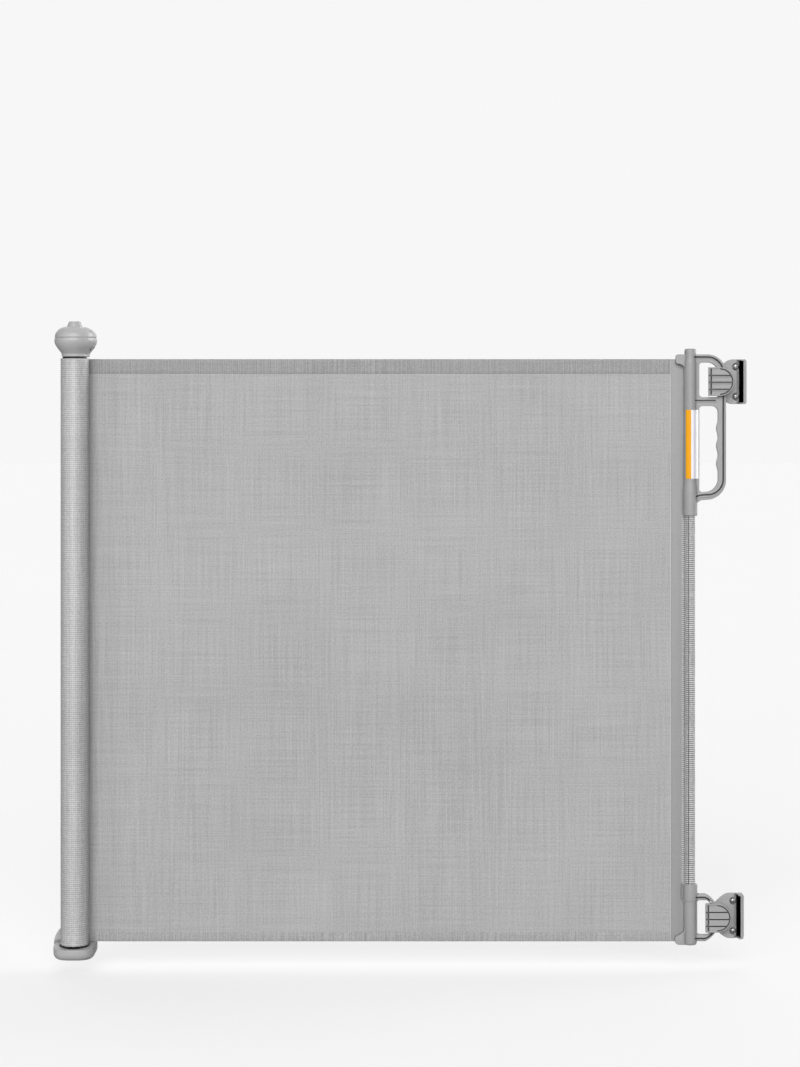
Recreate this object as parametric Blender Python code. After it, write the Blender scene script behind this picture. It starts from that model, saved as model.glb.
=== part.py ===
"""A retractable mesh safety gate, pulled out and hooked shut.

A spring roller stands in two wall brackets at the left, and a mesh panel runs from it to a rod at the right.
The rod ends in a handle and a bottom fitting, whose loops hook behind the tongues of two latch brackets.

All sizes are in millimetres. Pieces are placed in the gate's own layout: X from the roller towards the latch,
Y from the room towards the wall, Z up, from the roller's axis at the lower bracket's underside. One empty then
moves that layout to the world's origin, which is the middle of the lower roller bracket's wall face.
"""

import math

import bmesh
import bpy
from mathutils import Vector

MM = 0.001
GAP = 0.3

# Where the wall is behind the roller's axis, and how high the lower wall face's middle is.
WALL_Y = 29.0
WALL_FACE_Z = 22.0

# The mesh cloth: wound on the roller, and stretched from its back to a double hem beside the rod.
ROLL_RADIUS = 19.0
MESH_BOTTOM = 17.8
MESH_TOP = 807.6
MESH_LEFT = 2.0
MESH_Y = (19.4, 20.2)
HEM_X = 806.2
HEM_Y = (19.1, 20.5)
HEM_BESIDE_TUBE = 8.1
HEM_BESIDE_COLLAR = 9.0
HEM_BESIDE_SLEEVE = 6.2

# The rod at the mesh's leading edge, and its cloth sleeve.
ROD_X = 832.3
ROD_Y = 15.0
ROD_Z = (22.0, 810.0)
ROD_RADIUS = 5.5
ROD_WALL = 1.0
SLEEVE_Z = (91.0, 600.0)
SLEEVE_RADIUS = 6.9

# The roller's tube and what turns with it.
TUBE_Z = (20.0, 806.0)
TUBE_RADIUS = 16.4
TUBE_BORE = 15.3
PLUG_RADIUS = TUBE_BORE - GAP
SPINDLE_RADIUS = 4.0
PLUG_BORE = SPINDLE_RADIUS + 0.6
LOWER_PLUG_TOP_Z = 40.0
DRIVE_PLUG_Z = (228.0, 245.0)
UPPER_PLUG_BOTTOM_Z = 786.0
UPPER_PLUG_RIM_Z = 810.3
JOURNAL_RADIUS = 3.2

# The still core: a spindle with a collar, which stands in a bush and carries the spring.
BUSH_RADIUS = 7.5
BUSH_Z = (12.3, 26.3)
COLLAR_Z = (50.0, 58.0)
SPINDLE_COLLAR_RADIUS = 12.0
SPINDLE_TOP_Z = 240.0
KEY_HALF = 3.0
KEY_BOTTOM_Z = 4.5
TORSION_SPRING_RADIUS = 9.5

# The lower roller bracket: a cup on a wall plate with a round top.
CUP_RADIUS = 28.0
CUP_BORE = 20.6
CUP_RIM_Z = 17.3
CUP_FLOOR_Z = 9.5
CUP_FILLET = 9.0
CUP_FILLET_INSET = 7.0
CUP_SQUARENESS = 2.9
CUP_RIM_TILT = 5.3
CUP_RIM_BEND = 1.0
ARCH_CENTRE = (-1.8, 13.6)
ARCH_RADIUS = 29.4
PLATE_THICKNESS = 5.0
LOWER_SCREWS = ((-18.6, 24.0), (15.4, 24.0))

# The cap over the roller: a lower shell with a narrow neck, and a dome.
NECK_Z = 810.7
NECK_TOP_Z = 814.0
NECK_RADIUS = 17.4
BULGE_Z = 833.0
BULGE_RADIUS = 27.3
SEAM_Z = 836.3
SEAM_RADIUS = 26.8
DOME_TOP_Z = 851.0
DOME_HOLE = 10.7
CAP_BORE = 16.0
KNOB_RADIUS = 10.3
KNOB_TOP_RADIUS = 7.7
KNOB_TOP_Z = 858.1
BOSS_RADIUS = 4.6
BOSS_LENGTH = 11.0
BOSS_AT = (17.0, 0.0, 829.0)
BOSS_TURN = (0, 131.0, -6.0)
CAP_SCREW_RADIUS = 2.0
UPPER_PLATE_HALF_WIDTH = 13.7
UPPER_PLATE_THICKNESS = 4.2
UPPER_PLATE_Z = (817.8, 833.2)
UPPER_SCREWS = ((-8.0, 825.5), (8.0, 825.5))

# The lock under the knob: a ratchet on the roller, and a pawl that a cam draws into it.
RATCHET_TEETH = 12
RATCHET_Z = (812.0, 815.0)
RATCHET_TIP = 11.5
RATCHET_ROOT = 9.2
RATCHET_GAP_ANGLES = (-8.0, 8.0, 15.0, 21.0)
RATCHET_STUB = 5.0
GUIDE_Z = (816.5, 817.8)
CAM_Z = (823.2, 825.2)
CAM_RADIUS = 15.5
CAM_SHAFT_RADIUS = 3.0
BUTTON_SKIRT_Z = 845.0
BUTTON_SOCKET_TOP_Z = 853.0
PAWL_PIN_X = -12.9
PAWL_TRAVEL = 2.2
PAWL_PIN_RADIUS = 1.2

# The handle, measured from the rod's axis.
HANDLE_TOP_Z = 821.7
HANDLE_BOTTOM_Z = 595.5
COLLAR_TOP_Z = 632.6
HANDLE_RADIUS = 8.7
HANDLE_TIP_Z = 806.0
COLLAR_RADIUS = 9.6
HANDLE_TIP_RADIUS = 7.9
SOCKET_RADIUS = ROD_RADIUS + 0.4
SLEEVE_SOCKET = SLEEVE_RADIUS + 0.4
FRAME_Y = (10.5, 19.5)
FRAME_OUT = 48.0
FRAME_TOP_Z = 814.0
FRAME_TOP_ARC = 25.0
FRAME_LOW_ARC = 26.5
FRAME_LOW_Z = 643.6
FRAME_ROOT_Z = 612.5
NOSE_Y = (11.0, 18.8)
HANDLE_NOSE_LEFT = -19.9
WINDOW_LEFT = 11.9
WINDOW_RIGHT = 37.3
HOOK_WINDOW_Z = (756.2, 802.9)
GRIP_WINDOW_Z = (627.6, 743.9)
GRIP_WAVE_MIDDLE = 690.2
GRIP_WAVE_PITCH = 23.8
GRIP_WAVE_HEIGHT = 2.1
LABEL_Z = (645.7, 738.8)
LABEL_ANGLES = (-46.0, 56.0)
EDGE_ROUNDING = 1.2

# The bottom fitting, measured from the rod's axis.
FITTING_TOP_Z = 96.8
FITTING_STEP_Z = 73.3
FITTING_BOTTOM_Z = 14.2
FITTING_RADIUS = 8.8
FITTING_NOSE_LEFT = -21.0
FIN = (-11.9, 0.0, 75.8, 96.6)
FIN_Y = (13.5, 18.6)
LOOP_MIDDLE_Z = 51.6
LOOP_HALF = 32.0
LOOP_WINDOW_HALF = 23.3
LOOP_WINDOW = (9.2, 33.5)
LOOP_OUT = 42.5

# The latch brackets, measured from the rod's axis and the bracket's own middle height.
LATCH_MIDDLES = (("upper", 0.0, 777.0), ("lower", -3.8, 52.0))
LATCH_PLATE_Y = 21.0
LATCH_PLATE = (26.0, 76.5)
LATCH_HALF = 30.3
LATCH_NECK_HALF = 17.0
LATCH_NECK = (38.0, 58.0)
TONGUE_X = (23.6, 39.0)
TONGUE_HALF = 19.4
TONGUE_Y = (2.0, 9.0)
POST_X = (31.1, 37.0)
POST_HALF = 12.0
LIP_X = 72.0
LIP_Y = 12.5
GROOVE_X = 67.3
GROOVE_DEPTH = 5.0
LATCH_SCREW = (62.8, 20.3)

# Wall screws.
SCREW_HEAD_RADIUS = 4.4
SCREW_SHANK_RADIUS = 1.9
SCREW_LENGTH = 32.0

ROUND = 32


# ---------------------------------------------------------------- scene and materials


def clear_scene():
    for obj in list(bpy.data.objects):
        bpy.data.objects.remove(obj, do_unlink=True)


def material(name, colour, roughness, metallic=0.0):
    made = bpy.data.materials.new(name)
    made.use_nodes = True
    shader = made.node_tree.nodes["Principled BSDF"]
    shader.inputs["Base Color"].default_value = (*colour, 1.0)
    shader.inputs["Roughness"].default_value = roughness
    shader.inputs["Metallic"].default_value = metallic
    return made


def make_materials():
    return {
        "plastic": material("grey_plastic", (0.38, 0.38, 0.385), 0.45),
        "cloth": material("grey_mesh_cloth", (0.43, 0.43, 0.435), 0.9),
        "steel": material("zinc_steel", (0.62, 0.62, 0.63), 0.3, 1.0),
        "aluminium": material("aluminium", (0.7, 0.7, 0.71), 0.35, 1.0),
        "nylon": material("white_nylon", (0.75, 0.75, 0.72), 0.5),
        "label": material("label_film", (0.95, 0.6, 0.1), 0.5),
    }


def empty(name, at, parent=None):
    made = bpy.data.objects.new(name, None)
    made.location = Vector(at) * MM
    made.parent = parent
    bpy.context.scene.collection.objects.link(made)
    return made


def place(name, mesh, finish, parent, at=(0, 0, 0), turn=(0, 0, 0)):
    """Links a mesh as an object. `at` is in the gate's layout, whatever the parent's own place there is."""
    made = bpy.data.objects.new(name, mesh)
    if not mesh.materials:
        mesh.materials.append(finish)
    made.parent = parent
    offset = parent.location if parent.parent else Vector((0, 0, 0))
    made.location = Vector(at) * MM - offset
    made.rotation_euler = [math.radians(angle) for angle in turn]
    bpy.context.scene.collection.objects.link(made)
    return made


# ---------------------------------------------------------------- shapes, in millimetres


def finished_mesh(name, bm, smooth_below=35.0):
    bmesh.ops.recalc_face_normals(bm, faces=bm.faces)
    bmesh.ops.scale(bm, vec=(MM, MM, MM), verts=bm.verts)
    mesh = bpy.data.meshes.new(name)
    bm.to_mesh(mesh)
    bm.free()
    mesh.shade_smooth()
    mesh.set_sharp_from_angle(angle=math.radians(smooth_below))
    return mesh


def turned(name, profile, sides=ROUND):
    """A closed profile of (radius, height) points turned about Z. Points at radius 0 lie on the axis."""
    bm = bmesh.new()
    on_axis = {i: bm.verts.new((0, 0, z)) for i, (r, z) in enumerate(profile) if r == 0}
    columns = []
    for k in range(sides):
        angle = 2 * math.pi * k / sides
        columns.append(
            [
                on_axis.get(i) or bm.verts.new((r * math.cos(angle), r * math.sin(angle), z))
                for i, (r, z) in enumerate(profile)
            ]
        )
    for k, here in enumerate(columns):
        after = columns[(k + 1) % sides]
        for i in range(len(profile)):
            j = (i + 1) % len(profile)
            corners = dict.fromkeys((here[i], after[i], after[j], here[j]))
            if len(corners) > 2:
                bm.faces.new(corners)
    return finished_mesh(name, bm)


def ring(inner, outer, low, high):
    """The profile of a plain ring or, with inner 0, of a disc."""
    return [(inner, low), (outer, low), (outer, high), (inner, high)]


def lofted(name, rings):
    """Closed outlines with the same number of (x, y, z) points, joined in turn and capped at both ends."""
    bm = bmesh.new()
    rows = [[bm.verts.new(point) for point in row] for row in rings]
    for lower, upper in zip(rows, rows[1:]):
        for i in range(len(lower)):
            j = (i + 1) % len(lower)
            bm.faces.new((lower[i], lower[j], upper[j], upper[i]))
    bm.faces.new(rows[0])
    bm.faces.new(rows[-1])
    return finished_mesh(name, bm)


def extruded(name, outline, low, high, holes=(), along="y"):
    """An outline with holes, given as (x, z) points and extruded along Y, or as (x, y) points along Z."""
    bm = bmesh.new()

    def corner(u, v, depth):
        return (u, depth, v) if along == "y" else (u, v, depth)

    edges = []
    for loop in (outline, *holes):
        corners = [bm.verts.new(corner(u, v, low)) for u, v in loop]
        edges += [bm.edges.new((a, b)) for a, b in zip(corners, corners[1:] + corners[:1])]
    bmesh.ops.triangle_fill(bm, use_beauty=True, use_dissolve=False, edges=edges)
    grown = bmesh.ops.extrude_face_region(bm, geom=bm.faces[:], use_keep_orig=True)
    moved = [item for item in grown["geom"] if isinstance(item, bmesh.types.BMVert)]
    bmesh.ops.translate(bm, vec=Vector(corner(0, 0, high - low)), verts=moved)
    return finished_mesh(name, bm)


def block(name, low, high):
    corners = [(low[0], low[1]), (high[0], low[1]), (high[0], high[1]), (low[0], high[1])]
    return extruded(name, corners, low[2], high[2], along="z")


def coiled(name, coil_radius, wire_radius, low, high, turns, steps=12, sides=5):
    """A wire wound about Z between two heights."""
    rows = []
    count = int(turns * steps)
    rise = high - low - 2 * wire_radius
    for k in range(count + 1):
        angle = 2 * math.pi * k / steps
        middle = low + wire_radius + rise * k / count
        row = []
        for s in range(sides):
            around = 2 * math.pi * s / sides
            reach = coil_radius + wire_radius * math.cos(around)
            height = middle + wire_radius * math.sin(around)
            row.append((reach * math.cos(angle), reach * math.sin(angle), height))
        rows.append(row)
    return lofted(name, rows)


def arc(centre, radius, start, end, steps=6):
    """Points on an arc, ends included, with angles in degrees."""
    found = []
    for k in range(steps + 1):
        angle = math.radians(start + (end - start) * k / steps)
        found.append((centre[0] + radius * math.cos(angle), centre[1] + radius * math.sin(angle)))
    return found


def rounded_box(left, right, bottom, top, radii, right_side=()):
    """A rectangle's outline, anticlockwise from its bottom left corner, with a radius at each corner."""
    r0, r1, r2, r3 = radii
    return (
        arc((left + r0, bottom + r0), r0, 180, 270, 3)
        + arc((right - r1, bottom + r1), r1, 270, 360, 5)
        + list(right_side)
        + arc((right - r2, top - r2), r2, 0, 90, 5)
        + arc((left + r3, top - r3), r3, 90, 180, 3)
    )


def soften(obj, width, segments=1):
    bevel = obj.modifiers.new("soft_edges", "BEVEL")
    bevel.width = width * MM
    bevel.segments = segments
    bevel.limit_method = "ANGLE"
    bevel.angle_limit = math.radians(50)
    return obj


def combine(target, helper, operation):
    """Joins a helper to a piece, or cuts it from the piece. The helper itself isn't part of the gate."""
    modifier = target.modifiers.new(helper.name, "BOOLEAN")
    modifier.operation = operation
    modifier.object = helper
    helper.hide_render = True
    helper.display_type = "WIRE"


def add(target, name, mesh, finish, at=(0, 0, 0), turn=(0, 0, 0)):
    combine(target, place("add_" + name, mesh, finish, target.parent, at, turn), "UNION")


def cut(target, name, mesh, finish, at=(0, 0, 0), turn=(0, 0, 0)):
    combine(target, place("cut_" + name, mesh, finish, target.parent, at, turn), "DIFFERENCE")


# ---------------------------------------------------------------- roller


def make_roller(finish, roller):
    tube_low, tube_high = TUBE_Z
    tube = turned("roller_tube", ring(TUBE_BORE, TUBE_RADIUS, tube_low, tube_high))
    place("roller_tube", tube, finish["aluminium"], roller)
    roll = turned("mesh_roll", ring(TUBE_RADIUS + GAP, ROLL_RADIUS, MESH_BOTTOM, MESH_TOP + 0.6), 48)
    place("mesh_roll", roll, finish["cloth"], roller)

    bush_bore = BUSH_RADIUS + GAP
    bush_top = BUSH_Z[1] + GAP
    plug = [
        (bush_bore, MESH_BOTTOM),
        (TUBE_RADIUS, MESH_BOTTOM),
        (TUBE_RADIUS, tube_low - GAP),
        (PLUG_RADIUS, tube_low - GAP),
        (PLUG_RADIUS, LOWER_PLUG_TOP_Z),
        (PLUG_BORE, LOWER_PLUG_TOP_Z),
        (PLUG_BORE, bush_top),
        (bush_bore, bush_top),
    ]
    place("lower_end_plug", turned("lower_end_plug", plug), finish["nylon"], roller)
    drive = turned("spring_drive_plug", ring(PLUG_BORE, PLUG_RADIUS, *DRIVE_PLUG_Z))
    place("spring_drive_plug", drive, finish["nylon"], roller)

    shoulder_radius, shoulder_top = 6.5, RATCHET_Z[0] - 0.8
    hexagon_top = RATCHET_Z[1] + 0.5
    plug = [
        (0, UPPER_PLUG_BOTTOM_Z),
        (PLUG_RADIUS, UPPER_PLUG_BOTTOM_Z),
        (PLUG_RADIUS, tube_high + GAP),
        (TUBE_RADIUS, tube_high + GAP),
        (TUBE_RADIUS, UPPER_PLUG_RIM_Z),
        (shoulder_radius, UPPER_PLUG_RIM_Z),
        (shoulder_radius, shoulder_top),
        (0, shoulder_top),
    ]
    upper = place("upper_end_plug", turned("upper_end_plug", plug), finish["nylon"], roller)
    stub = turned("ratchet_stub", ring(0, RATCHET_STUB, shoulder_top - 1.2, hexagon_top), 6)
    add(upper, "ratchet_stub", stub, finish["nylon"])
    journal = turned("journal", ring(0, JOURNAL_RADIUS, RATCHET_Z[0], GUIDE_Z[1] - GAP), 16)
    add(upper, "journal", journal, finish["nylon"])
    make_ratchet(finish, roller)


def make_ratchet(finish, roller):
    """Saw teeth, steep on one side, with a gap at -X, where the pawl stands."""
    pitch = 360.0 / RATCHET_TEETH
    radii = (RATCHET_ROOT, RATCHET_ROOT, RATCHET_TIP, RATCHET_TIP)
    outline = []
    for k in range(RATCHET_TEETH):
        for radius, angle in zip(radii, RATCHET_GAP_ANGLES):
            turn = math.radians(180.0 + pitch * k + angle)
            outline.append((radius * math.cos(turn), radius * math.sin(turn)))
    hexagon = arc((0, 0), RATCHET_STUB + 0.4, 0, 300, 5)
    wheel = extruded("ratchet_wheel", outline, *RATCHET_Z, holes=(hexagon,), along="z")
    place("ratchet_wheel", wheel, finish["steel"], roller)


def make_spring_core(finish, gate):
    """What stands still inside the roller: the keyed spindle, its bush and the torsion spring."""
    foot_radius, foot_top = BUSH_RADIUS + 0.5, BUSH_Z[0] - GAP
    collar_low, collar_high = COLLAR_Z
    profile = [
        (0, CUP_FLOOR_Z + GAP),
        (foot_radius, CUP_FLOOR_Z + GAP),
        (foot_radius, foot_top),
        (SPINDLE_RADIUS, foot_top),
        (SPINDLE_RADIUS, collar_low - 2.0),
        (SPINDLE_COLLAR_RADIUS, collar_low),
        (SPINDLE_COLLAR_RADIUS, collar_high),
        (SPINDLE_RADIUS, collar_high),
        (SPINDLE_RADIUS, SPINDLE_TOP_Z),
        (0, SPINDLE_TOP_Z),
    ]
    spindle = place("spring_spindle", turned("spring_spindle", profile, 24), finish["steel"], gate)
    key = block("spindle_key", (-KEY_HALF, -KEY_HALF, KEY_BOTTOM_Z), (KEY_HALF, KEY_HALF, foot_top - 1.0))
    add(spindle, "spindle_key", key, finish["steel"])
    bush = turned("lower_bush", ring(SPINDLE_RADIUS + GAP, BUSH_RADIUS, *BUSH_Z), 24)
    place("lower_bush", bush, finish["nylon"], gate)
    low, high = collar_high + 0.4, DRIVE_PLUG_Z[0] - 0.4
    spring = coiled("torsion_spring", TORSION_SPRING_RADIUS, 1.0, low, high, 12, 10, 4)
    place("torsion_spring", spring, finish["steel"], gate)


# ---------------------------------------------------------------- lower roller bracket


def wall_ring(radius, height, back=WALL_Y, corner=2.0, squareness=2.0):
    """A plan outline: a front that is half a circle, or squarer, and sides that run back to the wall."""
    corner = min(corner, back - 0.05)
    front = []
    for x, y in arc((0, 0), 1.0, 180, 360, 16):
        reach = radius / (abs(x) ** squareness + abs(y) ** squareness) ** (1 / squareness)
        front.append((x * reach, y * reach))
    rear_right = arc((radius - corner, back - corner), corner, 0, 90, 4)
    rear_left = arc((corner - radius, back - corner), corner, 90, 180, 4)
    return [(x, y, height) for x, y in front + rear_right + rear_left]


def make_lower_bracket(finish, gate):
    rings = []
    for k in range(5):
        angle = math.pi / 2 * k / 4
        radius = CUP_RADIUS - CUP_FILLET_INSET * (1 - math.sin(angle))
        height = CUP_FILLET * (1 - math.cos(angle))
        rings.append(wall_ring(radius, height, squareness=CUP_SQUARENESS))
    rings.append(wall_ring(CUP_RADIUS, CUP_RIM_Z, squareness=CUP_SQUARENESS))
    bracket = place("lower_roller_bracket", lofted("lower_roller_bracket", rings), finish["plastic"], gate)
    above_rim = block("above_rim", (-40.0, -60.0, 0.0), (40.0, 0.0, 20.0))
    bend = (0, CUP_RIM_BEND, CUP_RIM_Z)
    cut(bracket, "above_rim", above_rim, finish["plastic"], bend, (CUP_RIM_TILT, 0, 0))

    centre_x, centre_z = ARCH_CENTRE
    sides = [(centre_x - ARCH_RADIUS, 7.0), (centre_x + ARCH_RADIUS, 7.0)]
    arch = sides + arc((centre_x, centre_z), ARCH_RADIUS, 0, 180, 16)
    plate = extruded("arch", arch, WALL_Y - PLATE_THICKNESS, WALL_Y)
    add(bracket, "arch", plate, finish["plastic"])
    bore = turned("bore", ring(0, CUP_BORE, CUP_FLOOR_Z, 60.0))
    cut(bracket, "bore", bore, finish["plastic"])
    half = KEY_HALF + GAP
    key = block("key_socket", (-half, -half, KEY_BOTTOM_Z - 0.5), (half, half, CUP_FLOOR_Z + 2.5))
    cut(bracket, "key_socket", key, finish["plastic"])
    for k, (x, z) in enumerate(LOWER_SCREWS):
        hole = sunk_hole("lower_hole")
        spot = (x, WALL_Y - PLATE_THICKNESS, z)
        cut(bracket, f"lower_hole_{k}", hole, finish["plastic"], spot, (-90, 0, 0))


# ---------------------------------------------------------------- screws


def sunk_hole(name):
    """A countersunk clearance hole along +Z from a face at height 0."""
    mouth = SCREW_HEAD_RADIUS + 0.4
    shank = SCREW_SHANK_RADIUS + 0.35
    profile = [(0, -4.0), (mouth, -4.0), (mouth, 0.2), (shank, 2.8), (shank, 9.0), (0, 9.0)]
    return turned(name, profile, 20)


def screw_point(length):
    return [(SCREW_SHANK_RADIUS, length - 5.0), (0, length)]


def sunk_screw_mesh():
    """A countersunk wood screw along +Z, its head's top at height 0."""
    head = [(0, 0.3), (SCREW_HEAD_RADIUS, 0.3), (SCREW_HEAD_RADIUS, 0.5), (SCREW_SHANK_RADIUS, 3.0)]
    return turned("sunk_screw", head + screw_point(SCREW_LENGTH), 20)


def pan_screw_mesh():
    """A pan head wood screw along +Z, the underside of its head at height 0."""
    dome = [(0, -2.6), (2.4, -2.4), (SCREW_HEAD_RADIUS - 0.4, -1.5), (SCREW_HEAD_RADIUS, -0.3)]
    neck = [(SCREW_SHANK_RADIUS, -0.3)]
    return turned("pan_screw", dome + neck + screw_point(SCREW_LENGTH), 20)


def add_cross(screw, top, depth, finish):
    """The cross recess in a screw's head, cut along the screw's own +Z."""
    long, thin = 2.6, 0.55
    upright = block("cross_a", (-thin, -long, top - 1.0), (thin, long, top + depth))
    level = block("cross_b", (-long, -thin, top - 1.0), (long, thin, top + depth))
    place_at = screw.location / MM
    turn = [math.degrees(angle) for angle in screw.rotation_euler]
    for tag, mesh in (("a", upright), ("b", level)):
        cut(screw, f"{screw.name}_{tag}", mesh, finish, place_at, turn)


def make_wall_screws(finish, gate):
    face_to_wall = (-90, 0, 0)
    sunk, pan = sunk_screw_mesh(), pan_screw_mesh()
    for where, face_y, spots in (
        ("lower_bracket", WALL_Y - PLATE_THICKNESS, LOWER_SCREWS),
        ("upper_plate", WALL_Y - UPPER_PLATE_THICKNESS, UPPER_SCREWS),
    ):
        for side, (x, z) in zip(("left", "right"), spots):
            name = f"{where}_screw_{side}"
            screw = place(name, sunk, finish["steel"], gate, (x, face_y, z), face_to_wall)
            add_cross(screw, 0.3, 1.6, finish["steel"])
    for level, shift, middle in LATCH_MIDDLES:
        for side, up in (("top", 1), ("bottom", -1)):
            at = (ROD_X + shift + LATCH_SCREW[0], LATCH_PLATE_Y, middle + up * LATCH_SCREW[1])
            screw = place(f"{level}_latch_screw_{side}", pan, finish["steel"], gate, at, face_to_wall)
            add_cross(screw, -2.6, 1.6, finish["steel"])


# ---------------------------------------------------------------- cap and lock


def cap_radius(height):
    """The lower shell's half width: a neck that swells to the bulge along an ogee."""
    along = min(max((height - NECK_TOP_Z) / (BULGE_Z - NECK_TOP_Z), 0.0), 1.0)
    swell = (1 - math.cos(math.pi * along**0.7)) / 2
    return NECK_RADIUS + (BULGE_RADIUS - NECK_RADIUS) * swell


def make_cap(finish, gate):
    steps = 8
    heights = [NECK_Z] + [NECK_TOP_Z + (BULGE_Z - NECK_TOP_Z) * k / steps for k in range(steps + 1)]
    rings = [wall_ring(cap_radius(z), z) for z in heights]
    shell = lofted("cap_lower_shell", rings + [wall_ring(SEAM_RADIUS, SEAM_Z - GAP)])
    lower = place("cap_lower_shell", shell, finish["plastic"], gate)
    boss = turned("screw_boss", ring(0, BOSS_RADIUS, 0, BOSS_LENGTH), 20)
    add(lower, "screw_boss", boss, finish["plastic"], BOSS_AT, BOSS_TURN)
    bore = turned("cap_bore", ring(0, CAP_BORE, NECK_Z - 10.0, SEAM_Z + 4.0))
    cut(lower, "cap_bore", bore, finish["plastic"])
    low, high = UPPER_PLATE_Z
    half = UPPER_PLATE_HALF_WIDTH + GAP
    face = WALL_Y - UPPER_PLATE_THICKNESS
    pocket = block("pocket", (-half, face - 0.4, low - GAP), (half, WALL_Y + 2.0, high + GAP))
    cut(lower, "pocket", pocket, finish["plastic"])
    recess = turned("boss_hole", ring(0, CAP_SCREW_RADIUS + 0.4, 4.0, BOSS_LENGTH + 1.0), 16)
    cut(lower, "boss_hole", recess, finish["plastic"], BOSS_AT, BOSS_TURN)
    screw = turned("cap_screw", ring(0, CAP_SCREW_RADIUS, 4.4, BOSS_LENGTH - 1.6), 16)
    place("cap_screw", screw, finish["steel"], gate, BOSS_AT, BOSS_TURN)

    plate = block("upper_wall_plate", (-half + GAP, face, low), (half - GAP, WALL_Y, high))
    upper = place("upper_wall_plate", plate, finish["steel"], gate)
    for k, (x, z) in enumerate(UPPER_SCREWS):
        at = (x, face, z)
        cut(upper, f"upper_hole_{k}", sunk_hole("upper_hole"), finish["steel"], at, (-90, 0, 0))
    make_dome(finish, gate)


def make_dome(finish, gate):
    """Round at its top, and drawn back to the wall at the seam."""
    edge = DOME_HOLE + 0.3
    steps = 6
    rings = []
    for k in range(steps + 1):
        angle = math.pi / 2 * k / steps
        radius = edge + (SEAM_RADIUS - edge) * math.cos(angle)
        height = SEAM_Z + (DOME_TOP_Z - SEAM_Z) * math.sin(angle)
        rounding = math.sin(angle) ** 4
        back = WALL_Y + (radius - WALL_Y) * rounding
        corner = 2.0 + (back - 2.0) * rounding
        rings.append(wall_ring(radius, height, back, corner))
    dome = place("cap_dome", lofted("cap_dome", rings), finish["plastic"], gate)
    below, above = SEAM_Z - 6.0, DOME_TOP_Z + 9.0
    wide_top, narrow_bottom = DOME_TOP_Z - 7.0, DOME_TOP_Z - 3.5
    hollow = [(0, below), (CAP_BORE, below), (CAP_BORE, wide_top)]
    hollow += [(DOME_HOLE, narrow_bottom), (DOME_HOLE, above), (0, above)]
    cut(dome, "dome_hollow", turned("dome_hollow", hollow), finish["plastic"])


def make_lock(finish, gate, slider, knob, pawl):
    socket = CAM_SHAFT_RADIUS + GAP
    profile = [
        (socket, BUTTON_SKIRT_Z),
        (KNOB_RADIUS, BUTTON_SKIRT_Z),
        (KNOB_RADIUS, DOME_TOP_Z + 0.8),
        (KNOB_TOP_RADIUS + 0.4, KNOB_TOP_Z - 0.4),
        (KNOB_TOP_RADIUS - 0.3, KNOB_TOP_Z),
        (0, KNOB_TOP_Z),
        (0, BUTTON_SOCKET_TOP_Z),
        (socket, BUTTON_SOCKET_TOP_Z),
    ]
    button = place("lock_knob", turned("lock_knob", profile), finish["plastic"], knob)
    mark = block("knob_mark", (-0.7, 1.5, KNOB_TOP_Z - 0.6), (0.7, 6.0, KNOB_TOP_Z + 1.0))
    cut(button, "knob_mark", mark, finish["plastic"])

    low, high = CAM_Z
    shaft_low, shaft_high = low - 0.8, BUTTON_SOCKET_TOP_Z - GAP
    profile = [
        (0, shaft_low),
        (CAM_SHAFT_RADIUS, shaft_low),
        (CAM_SHAFT_RADIUS, low),
        (CAM_RADIUS, low),
        (CAM_RADIUS, high),
        (CAM_SHAFT_RADIUS, high),
        (CAM_SHAFT_RADIUS, shaft_high),
        (0, shaft_high),
    ]
    plunger = place("cam_plunger", turned("cam_plunger", profile), finish["nylon"], knob)
    cut(plunger, "cam_slot", cam_slot(low, high), finish["nylon"])

    washer_low, washer_high = shaft_low - GAP, low - GAP
    washer = turned("thrust_washer", ring(socket, 6.5, washer_low, washer_high), 24)
    place("thrust_washer", washer, finish["steel"], slider)
    spring = coiled("button_spring", 5.0, 0.5, GUIDE_Z[1] + GAP, washer_low - GAP, 2.5, 12, 4)
    place("button_spring", spring, finish["steel"], gate)

    guide = turned("lock_guide_plate", ring(JOURNAL_RADIUS + 0.4, CAP_BORE - 0.4, *GUIDE_Z))
    plate = place("lock_guide_plate", guide, finish["steel"], gate)
    half = PAWL_PIN_RADIUS + 0.4
    slot_ends = (PAWL_PIN_X - 1.7, PAWL_PIN_X + PAWL_TRAVEL + 1.7)
    slot = block("guide_slot", (slot_ends[0], -half, GUIDE_Z[0] - 1), (slot_ends[1], half, GUIDE_Z[1] + 1))
    cut(plate, "guide_slot", slot, finish["steel"])

    tip_x, back_x = PAWL_PIN_X + 0.9, PAWL_PIN_X - 1.8
    body = [(back_x, -3.0), (tip_x - 1.6, -2.6), (tip_x, -1.0), (tip_x, 1.0), (back_x, 1.35)]
    body_low, body_high = RATCHET_Z[0] + GAP, GUIDE_Z[0] - 0.4
    tooth_mesh = extruded("lock_pawl", body, body_low, body_high, along="z")
    tooth = place("lock_pawl", tooth_mesh, finish["steel"], pawl)
    pin = turned("pawl_pin", ring(0, PAWL_PIN_RADIUS, body_high - 0.8, high + 2.3), 12)
    add(tooth, "pawl_pin", pin, finish["steel"], (PAWL_PIN_X, 0, 0))


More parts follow.
